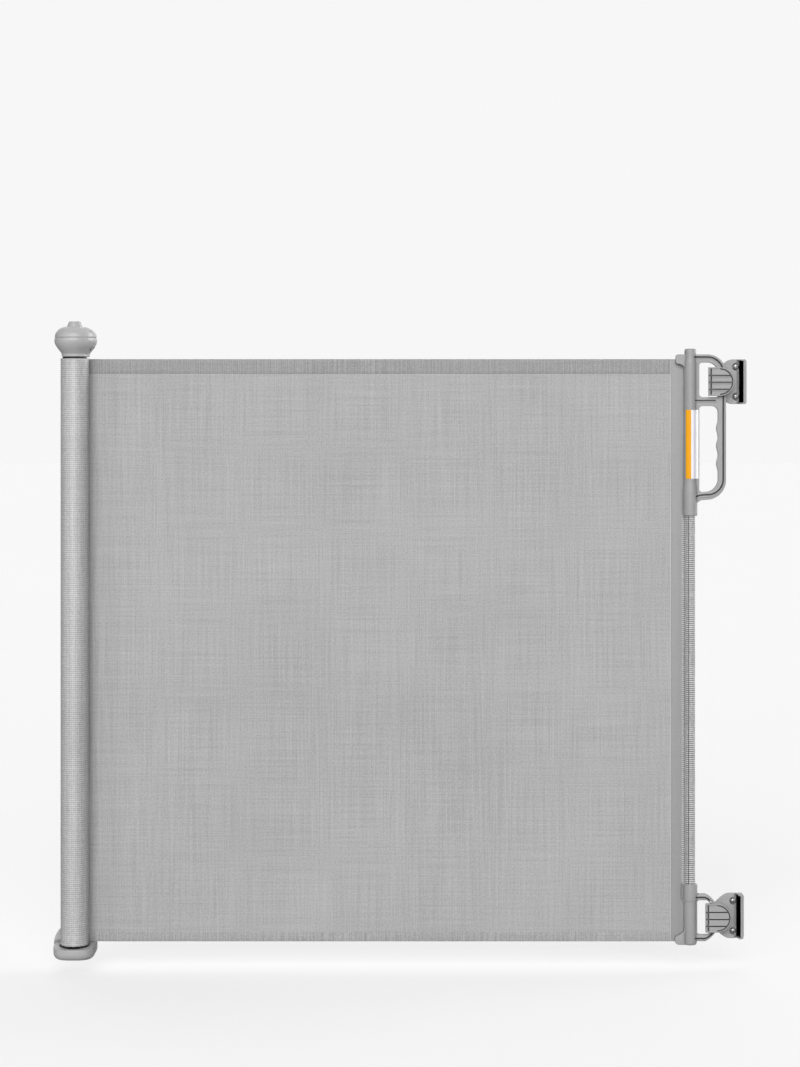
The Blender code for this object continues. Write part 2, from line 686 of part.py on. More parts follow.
def cam_slot(low, high):
    """A spiral slot: as the cam turns a quarter, it draws the pawl's pin in by its travel."""
    half_width = PAWL_PIN_RADIUS + 0.35
    steps = 12
    inner, outer = [], []
    for k in range(-1, steps + 2):
        turn = 90.0 * k / steps
        reach = -PAWL_PIN_X - PAWL_TRAVEL * turn / 90.0
        angle = math.radians(180.0 - turn)
        inner.append(((reach - half_width) * math.cos(angle), (reach - half_width) * math.sin(angle)))
        outer.append(((reach + half_width) * math.cos(angle), (reach + half_width) * math.sin(angle)))
    return extruded("cam_slot", inner + outer[::-1], low - 1, high + 1, along="z")


# ---------------------------------------------------------------- mesh panel, rod and sleeve


def make_panel(finish, gate):
    low, high = (MESH_LEFT, MESH_Y[0], MESH_BOTTOM), (HEM_X - GAP, MESH_Y[1], MESH_TOP)
    place("mesh_panel", block("mesh_panel", low, high), finish["cloth"], gate)


def make_leading_hem(finish, bar):
    """The sewn strip beside the rod. It runs up to the sleeve, and steps back beside each moulding."""
    edges = (
        (HEM_BESIDE_TUBE, MESH_BOTTOM, FITTING_STEP_Z - 1.4),
        (HEM_BESIDE_COLLAR, FITTING_STEP_Z - 1.4, FITTING_TOP_Z + 0.7),
        (HEM_BESIDE_SLEEVE, FITTING_TOP_Z + 0.7, HANDLE_BOTTOM_Z - 0.7),
        (HEM_BESIDE_COLLAR, HANDLE_BOTTOM_Z - 0.7, COLLAR_TOP_Z + 1.4),
        (HEM_BESIDE_TUBE, COLLAR_TOP_Z + 1.4, MESH_TOP),
    )
    outline = [(HEM_X, MESH_TOP), (HEM_X, MESH_BOTTOM)]
    for reach, low, high in edges:
        outline += [(ROD_X - reach, low), (ROD_X - reach, high)]
    place("leading_hem", extruded("leading_hem", outline, *HEM_Y), finish["cloth"], bar)


def make_rod(finish, bar):
    axis = (ROD_X, ROD_Y, 0)
    rod = turned("end_rod", ring(ROD_RADIUS - ROD_WALL, ROD_RADIUS, *ROD_Z), 24)
    place("end_rod", rod, finish["aluminium"], bar, axis)
    sleeve = turned("rod_sleeve", ring(ROD_RADIUS + GAP, SLEEVE_RADIUS, *SLEEVE_Z), 24)
    place("rod_sleeve", sleeve, finish["cloth"], bar, axis)


def socket_cutter(name, low, high, mouth_low, mouth_high):
    """The rod's blind socket and the wider mouth that takes the end of its sleeve."""
    if mouth_low < low:
        profile = [(0, mouth_low), (SLEEVE_SOCKET, mouth_low), (SLEEVE_SOCKET, mouth_high)]
        profile += [(SOCKET_RADIUS, mouth_high), (SOCKET_RADIUS, high), (0, high)]
    else:
        profile = [(0, low), (SOCKET_RADIUS, low), (SOCKET_RADIUS, mouth_low)]
        profile += [(SLEEVE_SOCKET, mouth_low), (SLEEVE_SOCKET, mouth_high), (0, mouth_high)]
    return turned(name, profile, 24)


# ---------------------------------------------------------------- handle


def grip_wave():
    """Three finger bumps on the grip's inner side, going up."""
    found = []
    steps = 18
    low = GRIP_WAVE_MIDDLE - 1.5 * GRIP_WAVE_PITCH
    for k in range(steps + 1):
        z = low + 3 * GRIP_WAVE_PITCH * k / steps
        phase = 2 * math.pi * (z - GRIP_WAVE_MIDDLE) / GRIP_WAVE_PITCH
        found.append((WINDOW_RIGHT - GRIP_WAVE_HEIGHT * (1 + math.cos(phase)) / 2, z))
    return found


def handle_frame():
    """The flat frame beside the tube: a hook loop above and a hand grip below."""
    top_centre = (FRAME_OUT - FRAME_TOP_ARC, FRAME_TOP_Z - FRAME_TOP_ARC)
    low_centre = (FRAME_OUT - FRAME_LOW_ARC, FRAME_LOW_Z)
    outline = (
        [(0, FRAME_TOP_Z)]
        + arc(top_centre, FRAME_TOP_ARC, 90, 0, 8)
        + arc(low_centre, FRAME_LOW_ARC, 0, -90, 8)
        + [(9.0, FRAME_ROOT_Z), (0, FRAME_ROOT_Z)]
    )
    hook = rounded_box(WINDOW_LEFT, WINDOW_RIGHT, *HOOK_WINDOW_Z, (4, 2, 14, 4))
    grip = rounded_box(WINDOW_LEFT, WINDOW_RIGHT, *GRIP_WINDOW_Z, (4, 18, 8, 4), grip_wave())
    return extruded("handle_frame", outline, *FRAME_Y, holes=(hook, grip))


def handle_nose():
    """The blunt nose at the tube's top, which points back over the hem."""
    corner = 3.5
    across = HANDLE_NOSE_LEFT + corner
    top = FRAME_TOP_Z
    outline = (
        [(0, top - 16.0), (-9.5, top - 16.0), (-12.5, top - 13.2)]
        + arc((across, top - 9.5), corner, 250, 180, 3)
        + arc((across, top - corner), corner, 180, 90, 3)
        + [(0, top)]
    )
    return extruded("handle_nose", outline, *NOSE_Y)


def make_handle(finish, bar):
    axis = (ROD_X, ROD_Y, 0)
    side = (ROD_X, 0, 0)
    tip = [(HANDLE_TIP_RADIUS, HANDLE_TIP_Z), (HANDLE_TIP_RADIUS, HANDLE_TOP_Z - 2.0)]
    tip += [(HANDLE_TIP_RADIUS - 2.0, HANDLE_TOP_Z), (0, HANDLE_TOP_Z)]
    profile = [
        (0, HANDLE_BOTTOM_Z),
        (COLLAR_RADIUS - 0.6, HANDLE_BOTTOM_Z),
        (COLLAR_RADIUS, HANDLE_BOTTOM_Z + 2.0),
        (COLLAR_RADIUS, COLLAR_TOP_Z - 2.0),
        (HANDLE_RADIUS, COLLAR_TOP_Z),
        (HANDLE_RADIUS, HANDLE_TIP_Z - 4.0),
    ]
    handle = place("handle", turned("handle", profile + tip), finish["plastic"], bar, axis)
    frame = soften(place("add_frame", handle_frame(), finish["plastic"], bar, side), EDGE_ROUNDING)
    combine(handle, frame, "UNION")
    nose = soften(place("add_nose", handle_nose(), finish["plastic"], bar, side), EDGE_ROUNDING)
    combine(handle, nose, "UNION")
    mouth_low, mouth_high = HANDLE_BOTTOM_Z - 5.5, SLEEVE_Z[1] + 2.0
    socket = socket_cutter("handle_socket", SLEEVE_Z[1], ROD_Z[1] + 2.0, mouth_low, mouth_high)
    cut(handle, "handle_socket", socket, finish["plastic"], axis)

    start, end = LABEL_ANGLES
    inner, outer = HANDLE_RADIUS + GAP, HANDLE_RADIUS + 2 * GAP
    band = arc((0, 0), inner, start - 90, end - 90, 8) + arc((0, 0), outer, end - 90, start - 90, 8)
    label = extruded("side_label", band, *LABEL_Z, along="z")
    place("side_label", label, finish["label"], bar, axis)
    make_rod_screw(finish, bar, "handle_rod_screw", handle, HANDLE_BOTTOM_Z + 22.5, COLLAR_RADIUS)


def make_rod_screw(finish, bar, name, moulding, height, radius):
    """A short screw from the wall side through a moulding, which holds the rod in it."""
    at = (ROD_X, ROD_Y + radius, height)
    hole = turned(name + "_hole", ring(0, 1.8, -1.0, radius - ROD_RADIUS + 0.5), 16)
    cut(moulding, name + "_hole", hole, finish["plastic"], at, (90, 0, 0))
    screw = turned(name, ring(0, 1.5, 0.6, radius - ROD_RADIUS - GAP), 16)
    place(name, screw, finish["steel"], bar, at, (90, 0, 0))


# ---------------------------------------------------------------- bottom fitting


def curve_between(start, control, end, steps=5):
    """A quadratic curve's points, without its first."""
    found = []
    for k in range(1, steps + 1):
        t = k / steps
        found.append(
            tuple(
                (1 - t) ** 2 * a + 2 * t * (1 - t) * b + t * t * c
                for a, b, c in zip(start, control, end)
            )
        )
    return found


def fitting_loop():
    """A loop that narrows towards the latch, the same above and below its middle."""
    top = LOOP_HALF
    straight = (19.0, top)
    shoulder = curve_between(straight, (29.0, top - 1.6), (LOOP_OUT, 6.4))
    upper = [(0, top), straight] + shoulder
    outline = upper + [(x, -z) for x, z in reversed(upper)]
    left, right = LOOP_WINDOW
    half = LOOP_WINDOW_HALF
    window = rounded_box(left, right, -half, half, (3, 12, 12, 3))
    return extruded("fitting_loop", outline, *FRAME_Y, holes=(window,))


def fitting_nose():
    """The round nose at the fitting's foot, which points back under the hem."""
    corner = 5.0
    low = FITTING_BOTTOM_Z + 0.2
    shoulder = low + 16.6
    outline = (
        [(0, low)]
        + arc((FITTING_NOSE_LEFT + corner, low + corner), corner, 270, 180, 3)
        + arc((FITTING_NOSE_LEFT + 3.0, low + 9.1), 3.0, 180, 120, 2)
        + [(-9.0, shoulder), (0, shoulder)]
    )
    return extruded("fitting_nose", outline, *NOSE_Y)


def fitting_fin():
    """A thin fin beside the fitting's top, in front of the hem."""
    return extruded("fitting_fin", rounded_box(*FIN, (1.8, 0.5, 0.5, 1.5)), *FIN_Y)


def make_bottom_fitting(finish, bar):
    axis = (ROD_X, ROD_Y, 0)
    profile = [
        (0, FITTING_BOTTOM_Z),
        (FITTING_RADIUS - 3.0, FITTING_BOTTOM_Z),
        (FITTING_RADIUS - 0.8, FITTING_BOTTOM_Z + 0.9),
        (FITTING_RADIUS, FITTING_BOTTOM_Z + 3.2),
        (FITTING_RADIUS, FITTING_STEP_Z),
        (COLLAR_RADIUS, FITTING_STEP_Z + 2.0),
        (COLLAR_RADIUS, FITTING_TOP_Z),
        (0, FITTING_TOP_Z),
    ]
    mesh = turned("bottom_fitting", profile)
    fitting = place("bottom_fitting", mesh, finish["plastic"], bar, axis)
    for mesh, height in ((fitting_loop(), LOOP_MIDDLE_Z), (fitting_nose(), 0), (fitting_fin(), 0)):
        helper = place("add_" + mesh.name, mesh, finish["plastic"], bar, (ROD_X, 0, height))
        combine(fitting, soften(helper, EDGE_ROUNDING), "UNION")
    mouth_low, mouth_high = SLEEVE_Z[0] - 1.0, FITTING_TOP_Z + 3.2
    socket = socket_cutter("fitting_socket", ROD_Z[0] - 1.0, SLEEVE_Z[0], mouth_low, mouth_high)
    cut(fitting, "fitting_socket", socket, finish["plastic"], axis)
    make_rod_screw(finish, bar, "fitting_rod_screw", fitting, FITTING_TOP_Z - 12.8, COLLAR_RADIUS)


# ---------------------------------------------------------------- latch brackets


def latch_plate_outline():
    """A narrow neck under the tongue that spreads to a tall screw plate."""
    left, right = LATCH_PLATE
    start, end = LATCH_NECK
    steps = 6
    upper = []
    for k in range(steps + 1):
        along = k / steps
        rise = (LATCH_HALF - LATCH_NECK_HALF) * math.sin(math.pi / 2 * along)
        upper.append((start + (end - start) * along, LATCH_NECK_HALF + rise))
    corner = 3.0
    upper = arc((left + 9.0, LATCH_NECK_HALF - 9.0), 9.0, 180, 90, 4) + upper
    upper += arc((right - corner, LATCH_HALF - corner), corner, 90, 0, 3)
    return upper + [(x, -z) for x, z in reversed(upper)]


def latch_bracket_mesh_parts():
    tongue = [(TONGUE_X[0], TONGUE_HALF), (TONGUE_X[0], -TONGUE_HALF)]
    tongue += arc((TONGUE_X[1], 0), TONGUE_HALF, -90, 90, 14)
    right = LATCH_PLATE[1]
    lip = rounded_box(LIP_X, right, -LATCH_HALF, LATCH_HALF, (0.5, 3, 3, 0.5))
    post = rounded_box(*POST_X, -POST_HALF, POST_HALF, (1, 1, 1, 1))
    return {
        "plate": extruded("latch_plate", latch_plate_outline(), LATCH_PLATE_Y, WALL_Y),
        "lip": extruded("latch_lip", lip, LIP_Y, WALL_Y),
        "post": extruded("latch_post", post, TONGUE_Y[1] - 2.0, LATCH_PLATE_Y + 2.0),
        "tongue": extruded("latch_tongue", tongue, *TONGUE_Y),
    }


def make_latch_brackets(finish, gate):
    parts = latch_bracket_mesh_parts()
    for level, shift, middle in LATCH_MIDDLES:
        at = (ROD_X + shift, 0, middle)
        name = f"latch_bracket_{level}"
        bracket = soften(place(name, parts["plate"], finish["plastic"], gate, at), 0.8)
        for part in ("lip", "post", "tongue"):
            helper = place(f"add_{level}_{part}", parts[part], finish["plastic"], gate, at)
            if part == "tongue":
                soften(helper, 1.5)
            combine(bracket, helper, "UNION")
        low = (GROOVE_X, LATCH_PLATE_Y - 1.0, -LATCH_HALF + 2.5)
        high = (LIP_X, LATCH_PLATE_Y + GROOVE_DEPTH, LATCH_HALF - 2.5)
        cut(bracket, f"{level}_groove", block("groove", low, high), finish["plastic"], at)
        for side, up in (("top", 1), ("bottom", -1)):
            hole = turned("latch_hole", ring(0, SCREW_SHANK_RADIUS + 0.4, -2.0, 12.0), 16)
            spot = (at[0] + LATCH_SCREW[0], LATCH_PLATE_Y, middle + up * LATCH_SCREW[1])
            cut(bracket, f"{level}_{side}_hole", hole, finish["plastic"], spot, (-90, 0, 0))


# ---------------------------------------------------------------- assembly


def main():
    clear_scene()
    finish = make_materials()
    gate = empty("gate_layout", (0, -WALL_Y, -WALL_FACE_Z))
    roller = empty("roller_axis", (0, 0, MESH_BOTTOM), gate)
    bar = empty("bar_travel", (ROD_X, ROD_Y, MESH_BOTTOM), gate)
    slider = empty("button_travel", (0, 0, CAM_Z[0]), gate)
    knob = empty("knob_axis", (0, 0, CAM_Z[0]), gate)
    pawl = empty("pawl_travel", (PAWL_PIN_X, 0, RATCHET_Z[0]), gate)

    make_roller(finish, roller)
    make_spring_core(finish, gate)
    make_lower_bracket(finish, gate)
    make_cap(finish, gate)
    make_lock(finish, gate, slider, knob, pawl)
    make_panel(finish, gate)
    make_leading_hem(finish, bar)
    make_rod(finish, bar)
    make_handle(finish, bar)
    make_bottom_fitting(finish, bar)
    make_latch_brackets(finish, gate)
    make_wall_screws(finish, gate)


main()
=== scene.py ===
"""The looks of a retractable mesh safety gate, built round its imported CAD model.

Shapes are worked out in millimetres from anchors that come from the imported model: mostly the roller's and
the rod's axis at the height of the lower bracket's underside, and each latch bracket's middle height.
X runs from the roller to the latch, Y from the room to the wall, Z up.
"""

import math
import operator

import bmesh
import bpy
from mathutils import Matrix, Vector, noise


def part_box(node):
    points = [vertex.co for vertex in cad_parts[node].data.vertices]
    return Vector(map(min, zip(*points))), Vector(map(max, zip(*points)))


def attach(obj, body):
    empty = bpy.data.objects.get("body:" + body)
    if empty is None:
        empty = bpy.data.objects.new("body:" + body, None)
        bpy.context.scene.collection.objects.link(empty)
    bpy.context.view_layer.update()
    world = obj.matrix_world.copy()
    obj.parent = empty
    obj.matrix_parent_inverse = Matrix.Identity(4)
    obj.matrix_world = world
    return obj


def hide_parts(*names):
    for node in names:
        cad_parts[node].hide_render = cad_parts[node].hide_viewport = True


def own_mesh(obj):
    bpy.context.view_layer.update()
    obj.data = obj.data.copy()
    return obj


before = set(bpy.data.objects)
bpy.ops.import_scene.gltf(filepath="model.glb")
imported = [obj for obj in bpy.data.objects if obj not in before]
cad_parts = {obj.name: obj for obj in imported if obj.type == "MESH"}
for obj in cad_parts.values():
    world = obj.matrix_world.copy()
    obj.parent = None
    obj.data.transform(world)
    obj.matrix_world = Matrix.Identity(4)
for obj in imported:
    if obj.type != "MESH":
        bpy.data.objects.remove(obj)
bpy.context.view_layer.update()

MM = 0.001


def middle(node):
    low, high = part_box(node)
    return (low + high) / 2


BASE_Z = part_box("lower_roller_bracket")[0].z
ROLLER = Vector((middle("roller_tube").x, middle("roller_tube").y, BASE_Z))
ROD = Vector((middle("end_rod").x, middle("end_rod").y, BASE_Z))
WALL = (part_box("lower_roller_bracket")[1].y - ROLLER.y) / MM


def height(node, end):
    """A node's lowest (0) or highest (1) point above the lower bracket's underside, in mm."""
    return (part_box(node)[end].z - BASE_Z) / MM


# Cloth.
MESH_BOTTOM = height("mesh_panel", 0)
MESH_TOP = height("mesh_panel", 1)
ROLL_RADIUS = 19.0
RIB_PITCH = 2.75
TOP_HEM = 19.8
BOTTOM_HEM = 12.9
PANEL_Y = middle("mesh_panel").y
PANEL_X = (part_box("mesh_panel")[0].x / MM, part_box("mesh_panel")[1].x / MM)
LEAD_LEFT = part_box("leading_hem")[0].x / MM
STITCH_PITCH = 3.4

# Mouldings on the rod, from its axis.
HANDLE_Z = (height("handle", 0), height("handle", 1))
FITTING_Z = (height("bottom_fitting", 0), height("bottom_fitting", 1))
SLEEVE_RADIUS = 6.9
HALF_FRAME = 4.5

# The cap's two mouldings: where they meet, the groove between them, and their bore.
SEAM_Z = 836.3
SEAM_GAP = 0.4
SEAM_STEP = 0.6
CAP_BORE = 16.0

# The latch bracket, from the rod's axis: its right side, half its height, its plate's front face, and the
# channel beside its lip.
LATCH_WIDTH = 76.5
LATCH_HALF = 30.3
LATCH_FACE = 21.0
CHANNEL_X = (67.3, 72.0)
CHANNEL_FLOOR = 26.5


# -------- meshes, in millimetres


def mesh_from(bm):
    bmesh.ops.recalc_face_normals(bm, faces=bm.faces)
    mesh = bpy.data.meshes.new("shape")
    bm.to_mesh(mesh)
    bm.free()
    return mesh


def spread(low, high, steps):
    """Values from low to high in even steps, ends included."""
    return [low + (high - low) * k / steps for k in range(steps + 1)]


def angles(sides):
    """Angles in radians once round a circle."""
    return [2 * math.pi * s / sides for s in range(sides)]


def lathe(profile, sides=64):
    """A closed profile of (radius, height) points turned about Z. Points at radius 0 lie on the axis."""
    bm = bmesh.new()
    on_axis = {i: bm.verts.new((0, 0, z)) for i, (r, z) in enumerate(profile) if r == 0}
    columns = []
    for angle in angles(sides):
        columns.append(
            [
                on_axis.get(i) or bm.verts.new((r * math.cos(angle), r * math.sin(angle), z))
                for i, (r, z) in enumerate(profile)
            ]
        )
    for k, here in enumerate(columns):
        after = columns[(k + 1) % sides]
        for i in range(len(profile)):
            j = (i + 1) % len(profile)
            corners = dict.fromkeys((here[i], after[i], after[j], here[j]))
            if len(corners) > 2:
                bm.faces.new(corners)
    return mesh_from(bm)


def cylinder(radius, low, high, sides=64):
    return lathe([(0, low), (radius, low), (radius, high), (0, high)], sides)


def loft(rings):
    """Rings with the same number of points, joined in turn and capped at both ends."""
    bm = bmesh.new()
    rows = [[bm.verts.new(point) for point in ring] for ring in rings]
    for lower, upper in zip(rows, rows[1:]):
        for i in range(len(lower)):
            j = (i + 1) % len(lower)
            bm.faces.new((lower[i], lower[j], upper[j], upper[i]))
    bm.faces.new(rows[0])
    bm.faces.new(rows[-1])
    return mesh_from(bm)


def extrude(outline, low, high, holes=(), along="y"):
    """An outline with holes, given as (x, z) points and extruded along Y, or as (x, y) points along Z."""
    bm = bmesh.new()

    def corner(u, v, depth):
        return (u, depth, v) if along == "y" else (u, v, depth)

    edges = []
    for loop in (outline, *holes):
        corners = [bm.verts.new(corner(u, v, low)) for u, v in loop]
        edges += [bm.edges.new((a, b)) for a, b in zip(corners, corners[1:] + corners[:1])]
    bmesh.ops.triangle_fill(bm, use_beauty=True, use_dissolve=False, edges=edges)
    grown = bmesh.ops.extrude_face_region(bm, geom=bm.faces[:], use_keep_orig=True)
    moved = [item for item in grown["geom"] if isinstance(item, bmesh.types.BMVert)]
    bmesh.ops.translate(bm, vec=Vector(corner(0, 0, high - low)), verts=moved)
    return mesh_from(bm)


def block(low, high):
    outline = [(low[0], low[1]), (high[0], low[1]), (high[0], high[1]), (low[0], high[1])]
    return extrude(outline, low[2], high[2], along="z")


def arc(centre, radius, start, end, steps):
    """Points on an arc, ends included, with angles in degrees."""
    found = []
    for angle in map(math.radians, spread(start, end, steps)):
        found.append((centre[0] + radius * math.cos(angle), centre[1] + radius * math.sin(angle)))
    return found


def bead(path, radius, depth, tall=None):
    """A round bar along (x, z) points in the plane y = depth. `tall` is its radius along Y."""
    tall, sides = tall or radius, 10
    rings = []
    for k, (x, z) in enumerate(path):
        before, after = path[max(k - 1, 0)], path[min(k + 1, len(path) - 1)]
        along = Vector((after[0] - before[0], 0, after[1] - before[1])).normalized()
        across = along.cross(Vector((0, 1, 0)))
        ring = []
        for angle in angles(sides):
            offset = across * (radius * math.cos(angle)) + Vector((0, tall * math.sin(angle), 0))
            ring.append(Vector((x, depth, z)) + offset)
        rings.append(ring)
    return loft(rings)


def rounded_box(left, right, bottom, top, radii, right_side=()):
    """A rectangle's outline, anticlockwise from its bottom left corner, with a radius at each corner."""
    r0, r1, r2, r3 = radii
    return (
        arc((left + r0, bottom + r0), r0, 180, 270, 6)
        + arc((right - r1, bottom + r1), r1, 270, 360, 10)
        + list(right_side)
        + arc((right - r2, top - r2), r2, 0, 90, 10)
        + arc((left + r3, top - r3), r3, 90, 180, 6)
    )


def turned_mesh(mesh, at, turn=(0, 0, 0)):
    """Moves a mesh, with turns in degrees about X, Y and Z."""
    matrix = Matrix.Translation(at)
    for axis, angle in zip("ZYX", reversed(turn)):
        matrix = matrix @ Matrix.Rotation(math.radians(angle), 4, axis)
    mesh.transform(matrix)
    return mesh


# -------- modifiers, applied


def linked(name, data):
    obj = bpy.data.objects.new(name, data)
    bpy.context.scene.collection.objects.link(obj)
    return obj


def temporary(mesh):
    return linked("temporary", mesh)


def applied(obj, others=()):
    """The object's mesh with its modifiers applied. The objects are then removed."""
    graph = bpy.context.evaluated_depsgraph_get()
    mesh = bpy.data.meshes.new_from_object(obj.evaluated_get(graph), depsgraph=graph)
    for used in (obj, *others):
        bpy.data.objects.remove(used)
    return mesh


def soft_edges(mesh, width, segments=3):
    obj = temporary(mesh)
    bevel = obj.modifiers.new("edges", "BEVEL")
    bevel.width = width
    bevel.segments = segments
    bevel.limit_method = "ANGLE"
    bevel.angle_limit = math.radians(40)
    return applied(obj)


def combined(solids, cutters):
    """The first solid as an object that joins the others and takes the cutters away, and their objects."""
    obj = temporary(solids[0])
    others = []
    for operation, meshes in (("UNION", solids[1:]), ("DIFFERENCE", cutters)):
        for mesh in meshes:
            others.append(temporary(mesh))
            modifier = obj.modifiers.new("boolean", "BOOLEAN")
            modifier.operation = operation
            modifier.solver = "MANIFOLD"
            modifier.object = others[-1]
    return obj, others


def moulded(solids, cutters, voxel=0.4, rounds=3, keep=0.2):
    """One moulding: solids joined, cutters taken away, and every edge softened as a mould leaves it."""
    obj, others = combined(solids, cutters)
    remesh = obj.modifiers.new("even", "REMESH")
    remesh.mode = "VOXEL"
    remesh.voxel_size = voxel
    smooth = obj.modifiers.new("soft", "SMOOTH")
    smooth.factor = 0.5
    smooth.iterations = rounds
    fewer = obj.modifiers.new("fewer", "DECIMATE")
    fewer.ratio = keep
    return applied(obj, others)


def piece(name, mesh, finish, body, anchor, replaces=(), sharp=None):
    """Links a mesh made in mm from an anchor as a piece that rides on a body."""
    mesh.transform(Matrix.Translation(anchor) @ Matrix.Scale(MM, 4))
    mesh.materials.clear()
    mesh.materials.append(finish)
    mesh.shade_smooth()
    if sharp:
        mesh.set_sharp_from_angle(angle=math.radians(sharp))
    obj = linked(name, mesh)
    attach(obj, body)
    if replaces:
        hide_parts(*replaces)
    return obj


# -------- materials


class Nodes:
    """A material's node tree, with short calls for what the finishes share."""

    def __init__(self, name):
        self.material = bpy.data.materials.new(name)
        self.material.use_nodes = True
        self.tree = self.material.node_tree
        self.shader = self.tree.nodes["Principled BSDF"]
        self.place = self.add("ShaderNodeTexCoord").outputs["Object"]

    def add(self, kind, **settings):
        node = self.tree.nodes.new(kind)
        for key, value in settings.items():
            setattr(node, key, value)
        return node

    def link(self, source, target):
        self.tree.links.new(source, target)

    def fix(self, socket, value):
        """Sets a number or colour that is the same all over the surface."""
        self.shader.inputs[socket].default_value = value

    def math(self, operation, a, b=0.0, c=0.0):
        node = self.add("ShaderNodeMath", operation=operation)
        for socket, value in zip(node.inputs, (a, b, c)):
            if isinstance(value, (int, float)):
                socket.default_value = value
            else:
                self.link(value, socket)
        return node.outputs[0]

    def noise(self, scale, stretch=(1, 1, 1), detail=2.0):
        """Noise of about 0 to 1 with `scale` cells to a metre, times `stretch` along each axis."""
        mapping = self.add("ShaderNodeMapping")
        mapping.inputs["Scale"].default_value = stretch
        self.link(self.place, mapping.inputs["Vector"])
        node = self.add("ShaderNodeTexNoise")
        node.inputs["Scale"].default_value = scale
        node.inputs["Detail"].default_value = detail
        self.link(mapping.outputs[0], node.inputs["Vector"])
        return node.outputs["Fac"]

    def split(self):
        node = self.add("ShaderNodeSeparateXYZ")
        self.link(self.place, node.inputs[0])
        return node.outputs

    def sum(self, *terms):
        """0.5 plus each (value, amount): how far the value is from 0.5, times the amount."""
        total = 0.5 - sum(0.5 * amount for value, amount in terms)
        for value, amount in terms:
            total = self.math("MULTIPLY_ADD", value, amount, total)
        return total

    def ramp(self, value, low, high):
        """A colour from low to high as the value goes from 0 to 1."""
        node = self.add("ShaderNodeMix", data_type="RGBA")
        node.inputs[6].default_value = (*low, 1)
        node.inputs[7].default_value = (*high, 1)
        self.link(value, node.inputs[0])
        return node.outputs[2]

    def painted_crevice_shade(self, colour, reach, depth):
        """Painted shade: darkens a colour where the piece's own surfaces within `reach` metres close it in.
        """
        node = self.add("ShaderNodeAmbientOcclusion", samples=8, only_local=True)
        node.inputs["Distance"].default_value = reach
        openness = self.math("POWER", node.outputs["AO"], depth)
        mix = self.add("ShaderNodeMix", data_type="RGBA", blend_type="MULTIPLY")
        mix.inputs[0].default_value = 1.0
        self.link(colour, mix.inputs[6])
        self.link(openness, mix.inputs[7])
        return mix.outputs[2]

    def range(self, value, low, high):
        node = self.add("ShaderNodeMapRange")
        node.inputs["To Min"].default_value = low
        node.inputs["To Max"].default_value = high
        self.link(value, node.inputs["Value"])
        return node.outputs[0]

    def bump(self, value, depth):
        """Relief of `depth` metres for values from 0 to 1."""
        node = self.add("ShaderNodeBump")
        node.inputs["Distance"].default_value = depth
        self.link(value, node.inputs["Height"])
        self.link(node.outputs[0], self.shader.inputs["Normal"])

    def surface(self, colour, marks, smooth, rough, depth):
        """A colour, a roughness between two values as the marks go from 0 to 1, and the marks' relief."""
        self.link(colour, self.shader.inputs["Base Color"])
        self.link(self.range(marks, smooth, rough), self.shader.inputs["Roughness"])
        self.bump(marks, depth)


def shade(grey):
    """A linear colour from an sRGB grey of 0 to 255."""
    value = grey / 255
    linear = ((value + 0.055) / 1.055) ** 2.4 if value > 0.04045 else value / 12.92
    return (linear, linear, linear)


def plastic(name, grey, roughness=0.42):
    """Satin moulded plastic: a fine spark-eroded grain, uneven colour and gloss, and painted shade that
    darkens its creases and hollows.
    """
    nodes = Nodes(name)
    clouds = nodes.noise(35.0, detail=3.0)
    grain = nodes.noise(1500.0, detail=1.0)
    uneven = nodes.sum((clouds, 0.8), (grain, 0.8))
    colour = nodes.ramp(uneven, shade(grey - 8), shade(grey + 8))
    # Painted shade: the colour darkens in the piece's own creases and hollows.
    colour = nodes.painted_crevice_shade(colour, reach=0.004, depth=2.6)
    nodes.surface(colour, grain, roughness - 0.06, roughness + 0.08, depth=0.00003)
    nodes.fix("Specular IOR Level", 0.5)
    return nodes.material


def painted_shadow_plastic(name, grey):
    """Painted shadow: a near-black plastic colour without gloss, for deep in a channel where no light gets
    to.
    """
    nodes = Nodes(name)
    grain = nodes.noise(1500.0, detail=1.0)
    colour = nodes.ramp(grain, shade(grey - 4), shade(grey + 4))
    nodes.surface(colour, grain, smooth=0.9, rough=1.0, depth=0.00003)
    nodes.fix("Specular IOR Level", 0.0)
    return nodes.material


def metal(name, grey, roughness, stretch=(1, 1, 1)):
    """Plated or drawn metal, with fine marks along its length and painted shade that darkens its creases
    and hollows.
    """
    nodes = Nodes(name)
    marks = nodes.noise(900.0, stretch)
    colour = nodes.ramp(marks, shade(grey - 12), shade(grey + 8))
    # Painted shade: the colour darkens in the piece's own creases and hollows.
    colour = nodes.painted_crevice_shade(colour, reach=0.003, depth=2.0)
    nodes.surface(colour, marks, roughness - 0.06, roughness + 0.1, depth=0.00002)
    nodes.fix("Metallic", 1.0)
    return nodes.material


def wave(nodes, value, pitch, start=0.0):
    """1 at the start and 0 half a pitch on, once for every `pitch` metres, or radians, of value."""
    phase = nodes.math("MULTIPLY_ADD", value, 2 * math.pi / pitch, -2 * math.pi * start / pitch)
    return nodes.math("MULTIPLY_ADD", nodes.math("COSINE", phase), 0.5, 0.5)


